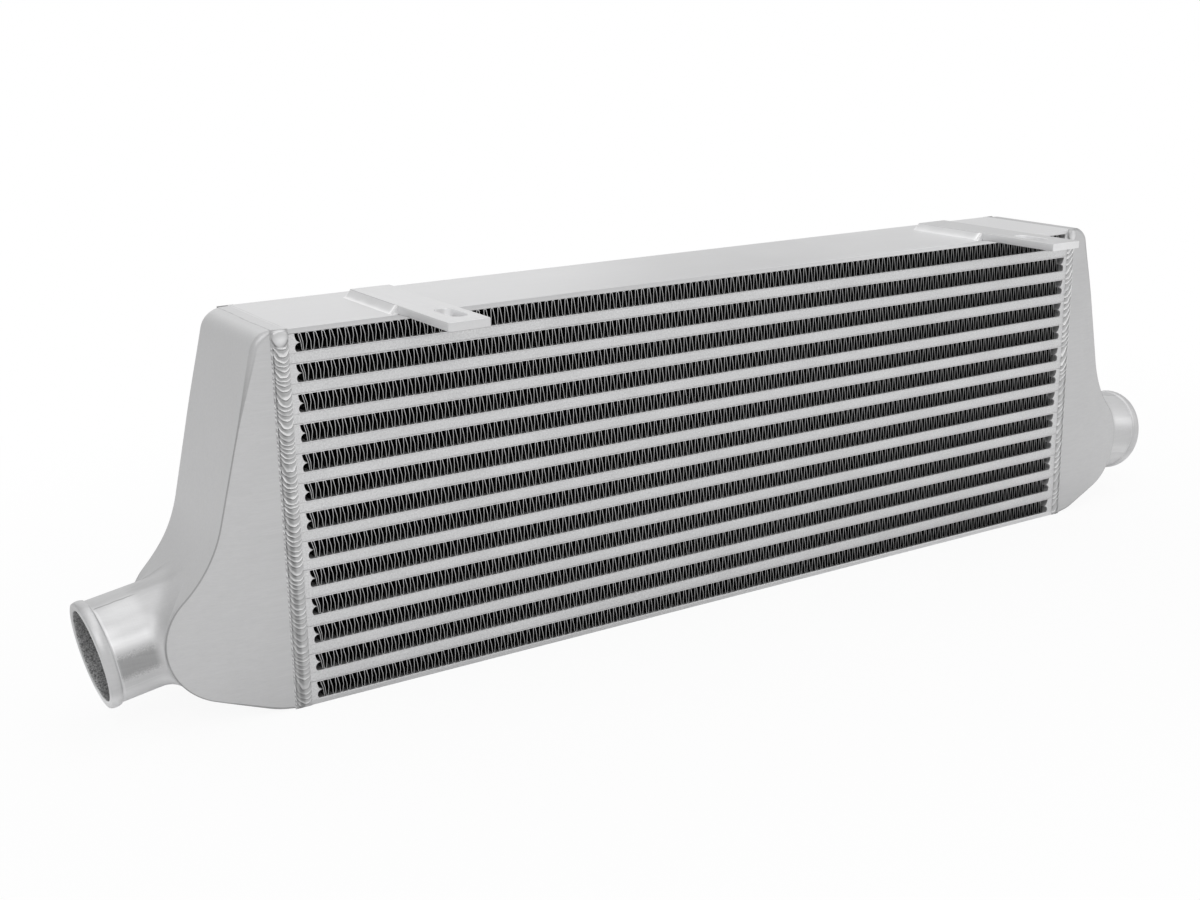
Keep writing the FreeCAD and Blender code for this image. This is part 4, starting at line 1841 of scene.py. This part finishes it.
@dataclass
class Bracket:
    """A slotted flat bar on the top plate and the weld that holds it."""

    core: CoreSizes
    side: str
    share: float
    overhang: float
    width: float = 23 * MM
    seat: float = 58 * MM
    thickness: float = 4.5 * MM
    slot_width: float = 10 * MM
    slot_length: float = 24 * MM
    slot_lead: float = 31 * MM
    slot_shift: float = 2 * MM
    edge: float = 0.35 * MM

    def bar_mesh(self) -> bpy.types.Mesh:
        """The bar on the right half: an outline with a slot, pushed up and with eased edges."""
        core = self.core
        centre = self.share * core.length
        left, right = centre - self.width / 2, centre + self.width / 2
        front, rear = -core.half_depth - self.overhang, self.seat - core.half_depth
        corners = [(left, front), (right, front), (right, rear), (left, rear)]
        slot = []
        radius = self.slot_width / 2
        half_run = (self.slot_length - self.slot_width) / 2
        slot_x, slot_y = centre - self.slot_shift, -core.half_depth - self.slot_lead
        for end, start in ((1.0, 0.0), (-1.0, math.pi)):
            for part in range(17):
                angle = math.pi * part / 16 + start
                across, ahead = radius * math.cos(angle), end * half_run + radius * math.sin(angle)
                slot.append((slot_x + across, slot_y + ahead))
        mesh = bpy.data.meshes.new("bracket_bar")
        with edited(mesh) as work:
            levels = [
                [[work.verts.new((x, y, z)) for x, y in line] for line in (corners, slot)]
                for z in (core.height, core.height + self.thickness)
            ]
            for loops in levels:
                edges = [work.edges.new(pair) for loop in loops for pair in zip(loop, loop[1:] + loop[:1])]
                bmesh.ops.triangle_fill(work, edges=edges, use_beauty=True, use_dissolve=False)
            for lower, upper in zip(*levels):
                for k in range(len(lower)):
                    after = (k + 1) % len(lower)
                    work.faces.new((lower[k], lower[after], upper[after], upper[k]))
            bmesh.ops.recalc_face_normals(work, faces=work.faces[:])
            sharp = [edge for edge in work.edges if edge.calc_face_angle(0.0) > math.radians(50)]
            easing = {"offset": self.edge, "segments": 3, "profile": 0.5, "affect": "EDGES", "clamp_overlap": True}
            bmesh.ops.bevel(work, geom=sharp, **easing)
        return mesh

    def seam_path(self) -> list[tuple[Vector, Vector]]:
        """Places round both sides and the rear of the bar's seat, with the direction out of each."""
        core = self.core
        centre = self.share * core.length
        left, right = centre - self.width / 2, centre + self.width / 2
        front, rear = -core.half_depth + 0.5 * MM, self.seat - core.half_depth
        run = rear - front
        parts = 60
        # The last value is the share of the half turn from facing left to facing right.
        stops = [(left, front + run * k / parts, 0.0) for k in range(parts + 1)]
        stops += [(left, rear, k / 18) for k in range(1, 9)]
        stops += [(left + self.width * k / 24, rear, 0.5) for k in range(25)]
        stops += [(right, rear, 0.5 + k / 18) for k in range(1, 9)]
        stops += [(right, rear - run * k / parts, 1.0) for k in range(parts + 1)]
        return [
            (Vector((x, y, core.height)), Vector((-math.cos(math.pi * turn), math.sin(math.pi * turn), 0)))
            for x, y, turn in stops
        ]

    def weld_mesh(self, seed: int) -> bpy.types.Mesh:
        """The hollow weld round the bar's seat, which ends in a dot on each side."""
        path = self.seam_path()
        phases = np.cumsum(np.random.default_rng(seed).uniform(0.25, 0.55, len(path)))
        mesh = bpy.data.meshes.new("bracket_weld")
        with edited(mesh) as work:
            crest = work.verts.layers.float.new("crest")
            rows = []
            for k, (place, out) in enumerate(path):
                from_end = min(k, len(path) - 1 - k)
                dot = math.exp(-(((from_end - 1.8) / 1.7) ** 2))
                leg = 3.7 * MM * (1.0 + 0.03 * math.sin(phases[k])) * (1.0 - 0.05 * dot)
                rise = 4.1 * MM + 0.3 * MM * dot
                row: list[bmesh.types.BMVert] = []
                for step in range(9):
                    share = step / 8
                    bulge = math.sin(math.pi * share) * (0.05 * MM + 0.9 * MM * dot)
                    up = rise * (1.0 - share) ** 1.6 + bulge if step < 8 else 0.0
                    row.append(work.verts.new(place + out * leg * share + Vector((0, 0, up))))
                row.append(work.verts.new(place))
                # The crest value paints light on the side that faces left, towards the key lamp, and lightens the
                # end dots.
                shaded = out.x if self.side == "left" else -out.x
                for point in row:
                    point[crest] = 0.92 + 0.24 * max(0.0, shaded) + 0.5 * dot
                rows.append(row)
            for upper, lower in zip(rows, rows[1:]):
                for k in range(len(upper)):
                    after = (k + 1) % len(upper)
                    work.faces.new((upper[k], lower[k], lower[after], upper[after]))
            work.faces.new(rows[0])
            work.faces.new(rows[-1][::-1])
            bmesh.ops.remove_doubles(work, verts=work.verts[:], dist=1e-6)
            bmesh.ops.recalc_face_normals(work, faces=work.faces[:])
        return mesh

    def build(self, bar_finish: bpy.types.Material, weld_finish: bpy.types.Material) -> None:
        """Build bar and weld, mirrored where the bracket is the left one."""
        bar = self.bar_mesh()
        weld = self.weld_mesh(5 if self.side == "left" else 9)
        if self.side == "left":
            bar = mirrored(bar, "left_bar", 0)
            weld = mirrored(weld, "left_weld", 0)
        for mesh, finish, piece, node, slot in (
            (bar, bar_finish, "_slotted_bracket", "_bracket", "bracket"),
            (weld, weld_finish, "_bracket_fillet", "_bracket_weld", "weld"),
        ):
            place_mesh(smooth(mesh, 60), self.side + piece, finish, [self.side + node])


# Studio


@dataclass
class Studio:
    """Floor, lamps, surroundings and camera."""

    camera_place: tuple[float, float, float] = (-0.5550, -0.7596, 0.3519)
    forward: tuple[float, float, float] = (0.5170, 0.8110, -0.2748)
    roll_deg: float = -0.74
    lens: float = 48.21
    floor_size: float = 8.0
    surround: float = 0.66

    def build(self) -> None:
        """Set up everything that isn't part of the object."""
        self.floor()
        self.world()
        self.lamp("key", (-0.9, -1.5, 1.9), 1.6, 9.0)
        self.lamp("fill", (1.6, -1.2, 1.1), 1.4, 2.6)
        self.lamp("top", (0.2, 0.3, 2.2), 2.0, 9.0)
        self.lamp("rear", (0.3, 2.0, 1.0), 1.8, 4.0)
        self.camera()
        bpy.context.scene.view_settings.view_transform = "Standard"

    def floor(self) -> None:
        """A pale floor under the object, white to the camera except for the object's shadow."""
        mesh = bpy.data.meshes.new("floor")
        with edited(mesh) as work:
            bmesh.ops.create_grid(work, x_segments=8, y_segments=8, size=self.floor_size)
        floor = add_object("floor", mesh)
        made = bpy.data.materials.new("pale_floor")
        maker = bare_nodes(made)
        place = maker.node("ShaderNodeTexCoord").outputs["Object"]
        shade = 0.90 + (maker.noise(place, 3.0, 2.0) - 0.5) * 0.01
        matt = maker.node(
            "ShaderNodeBsdfPrincipled", {"Base Color": maker.colour(shade, shade, shade), "Roughness": 0.9}
        )
        white = maker.node("ShaderNodeEmission", {"Color": (1.0, 1.0, 1.0, 1.0), "Strength": 1.0})
        x, y, _ = maker.split(place)
        away = ((x * x) * 0.45 + y * y).root()
        share = self.seen(maker) * (0.92 + 0.08 * away.ramp(0.22, 0.62))
        mixed = maker.node("ShaderNodeMixShader", {0: share, 1: matt.outputs[0], 2: white.outputs[0]})
        maker.node("ShaderNodeOutputMaterial", {"Surface": mixed.outputs[0]})
        mesh.materials.append(made)

    @staticmethod
    def seen(maker: NodeMaker) -> Number:
        """One where the camera looks straight at it, else zero."""
        path = maker.node("ShaderNodeLightPath")
        straight, through_glass = (maker.number(path, "Is %s Ray" % kind) for kind in ("Camera", "Transmission"))
        return maker.math("MAXIMUM", straight, through_glass)

    def world(self) -> None:
        """Even pale surroundings, white where the camera sees them."""
        world = bpy.data.worlds.new("studio")
        bpy.context.scene.world = world
        maker = bare_nodes(world)
        strength = self.seen(maker) * (1.0 - self.surround) + self.surround
        back = maker.node("ShaderNodeBackground", {"Color": (1.0, 1.0, 1.0, 1.0), "Strength": strength})
        maker.node("ShaderNodeOutputWorld", {"Surface": back.outputs[0]})

    def lamp(self, name: str, place: tuple[float, float, float], size: float, power: float) -> None:
        """Add a soft square lamp that looks at the object's middle.

        Args:
            name: Name of the lamp.
            place: Where it stands, in metres.
            size: Length of its sides.
            power: Its power in watts.
        """
        data = bpy.data.lights.new(name, "AREA")
        data.size = size
        data.energy = power
        lamp = add_object(name, data)
        lamp.location = place
        lamp.rotation_euler = (Vector((0, 0, 0.1)) - Vector(place)).to_track_quat("-Z", "Y").to_euler()

    def camera(self) -> None:
        """Stand the camera where the photograph was taken from."""
        data = bpy.data.cameras.new("camera")
        data.lens = self.lens
        data.sensor_width = 36.0
        data.sensor_fit = "HORIZONTAL"
        camera = add_object("camera", data)
        ahead = Vector(self.forward).normalized()
        right = ahead.cross(Vector((0, 0, 1))).normalized()
        up = right.cross(ahead)
        turn = Matrix((right, up, -ahead)).transposed()
        roll = Matrix.Rotation(math.radians(self.roll_deg), 3, "Z")
        camera.rotation_mode = "QUATERNION"
        camera.rotation_quaternion = (turn @ roll).to_quaternion()
        camera.location = self.camera_place
        bpy.context.scene.camera = camera


# Finishes of this object


def metal_grey(level: float) -> Colour:
    """A grey with a trace of blue, as bare metal has it."""
    return level, level, level + 0.005


FINISHES = {
    "plate": Finish(
        "milled_plate",
        metal_grey(0.672),
        roughness=0.42,
        metallic=0.85,
        grain=Grain(cloud_size=22.0, grain_size=1500.0, cloud_share=0.5, tone=0.05, depth=0.03),
        brush=Brush(stretch=(0.03, 1.0, 1.0), density=900.0, tone=0.05, depth=0.02),
        extra=Extra.SEAMS,
    ),
    "bar": Finish(
        "blasted_bar",
        metal_grey(0.74),
        roughness=0.50,
        metallic=0.75,
        grain=Grain(cloud_size=30.0, grain_size=1000.0, cloud_share=0.20, tone=0.50, depth=0.26),
        brush=Brush(stretch=(0.02, 1.0, 1.0), density=900.0, tone=0.03, depth=0.01),
    ),
    "sheet": Finish(
        "rolled_sheet",
        metal_grey(0.74),
        roughness=0.45,
        metallic=0.80,
        grain=Grain(cloud_size=30.0, grain_size=1100.0, cloud_share=0.3, tone=0.12, depth=0.06),
        brush=Brush(),
    ),
    "fin": Finish(
        "folded_sheet",
        metal_grey(0.72),
        roughness=0.40,
        metallic=0.90,
        grain=Grain(cloud_size=60.0, grain_size=1600.0, cloud_share=0.5, tone=0.12, depth=0.02),
        brush=Brush(stretch=(1.0, 1.0, 0.05), density=900.0, tone=0.05, depth=0.01),
        extra=Extra.FIN_EDGE,
    ),
    "inner_fin": Finish(
        "inner_sheet",
        metal_grey(0.30),
        roughness=0.50,
        metallic=0.80,
        grain=Grain(),
        brush=Brush(),
    ),
    "tank": Finish(
        "satin_casting",
        metal_grey(0.64),
        roughness=0.44,
        metallic=0.80,
        grain=Grain(cloud_size=18.0, grain_size=1300.0, cloud_share=0.7, tone=0.09, depth=0.05),
        brush=Brush(stretch=(0.05, 1.0, 1.0), density=620.0, tone=0.10, depth=0.03),
        extra=Extra.TANK,
    ),
    "weld": Finish(
        "weld_metal",
        metal_grey(0.74),
        roughness=0.34,
        metallic=0.92,
        grain=Grain(cloud_size=60.0, grain_size=1500.0, cloud_share=0.5, tone=0.10, depth=0.04),
        brush=Brush(stretch=(1.0, 1.0, 1.0), density=900.0, tone=0.03, depth=0.01),
        extra=Extra.WELD,
    ),
    "bracket": Finish(
        "flat_bar",
        metal_grey(0.70),
        roughness=0.45,
        metallic=0.80,
        grain=Grain(cloud_size=40.0, grain_size=1500.0, cloud_share=0.4, tone=0.09, depth=0.05),
        brush=Brush(stretch=(1.0, 0.03, 1.0), density=800.0, tone=0.06, depth=0.02),
        extra=Extra.BRACKET,
    ),
}


def main() -> None:
    """Build the classes in order and report each piece."""
    effects = EffectGroups()
    metal = {name: finish.material(effects) for name, finish in FINISHES.items()}
    Studio().build()
    CorePlates(CORE).build(metal["plate"], metal["sheet"])
    AirFins(CORE).build(metal["fin"])
    LongBars(CORE).build(metal["bar"])
    EndBars(CORE).build(metal["bar"])
    for passage in range(CORE.rows - 1):
        dress_node("turbulator_%02d" % (passage + 1), metal["inner_fin"])
    EndTanks(CORE).build(metal["tank"])
    TankWelds(CORE).build(metal["weld"])
    Bracket(CORE, "right", 0.3727, 57.5 * MM).build(metal["bracket"], metal["weld"])
    Bracket(CORE, "left", 0.3673, 54.0 * MM).build(metal["bracket"], metal["weld"])


if __name__ == "__main__":
    logging.basicConfig(level=logging.INFO, format="%(message)s")
    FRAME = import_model()
    main()
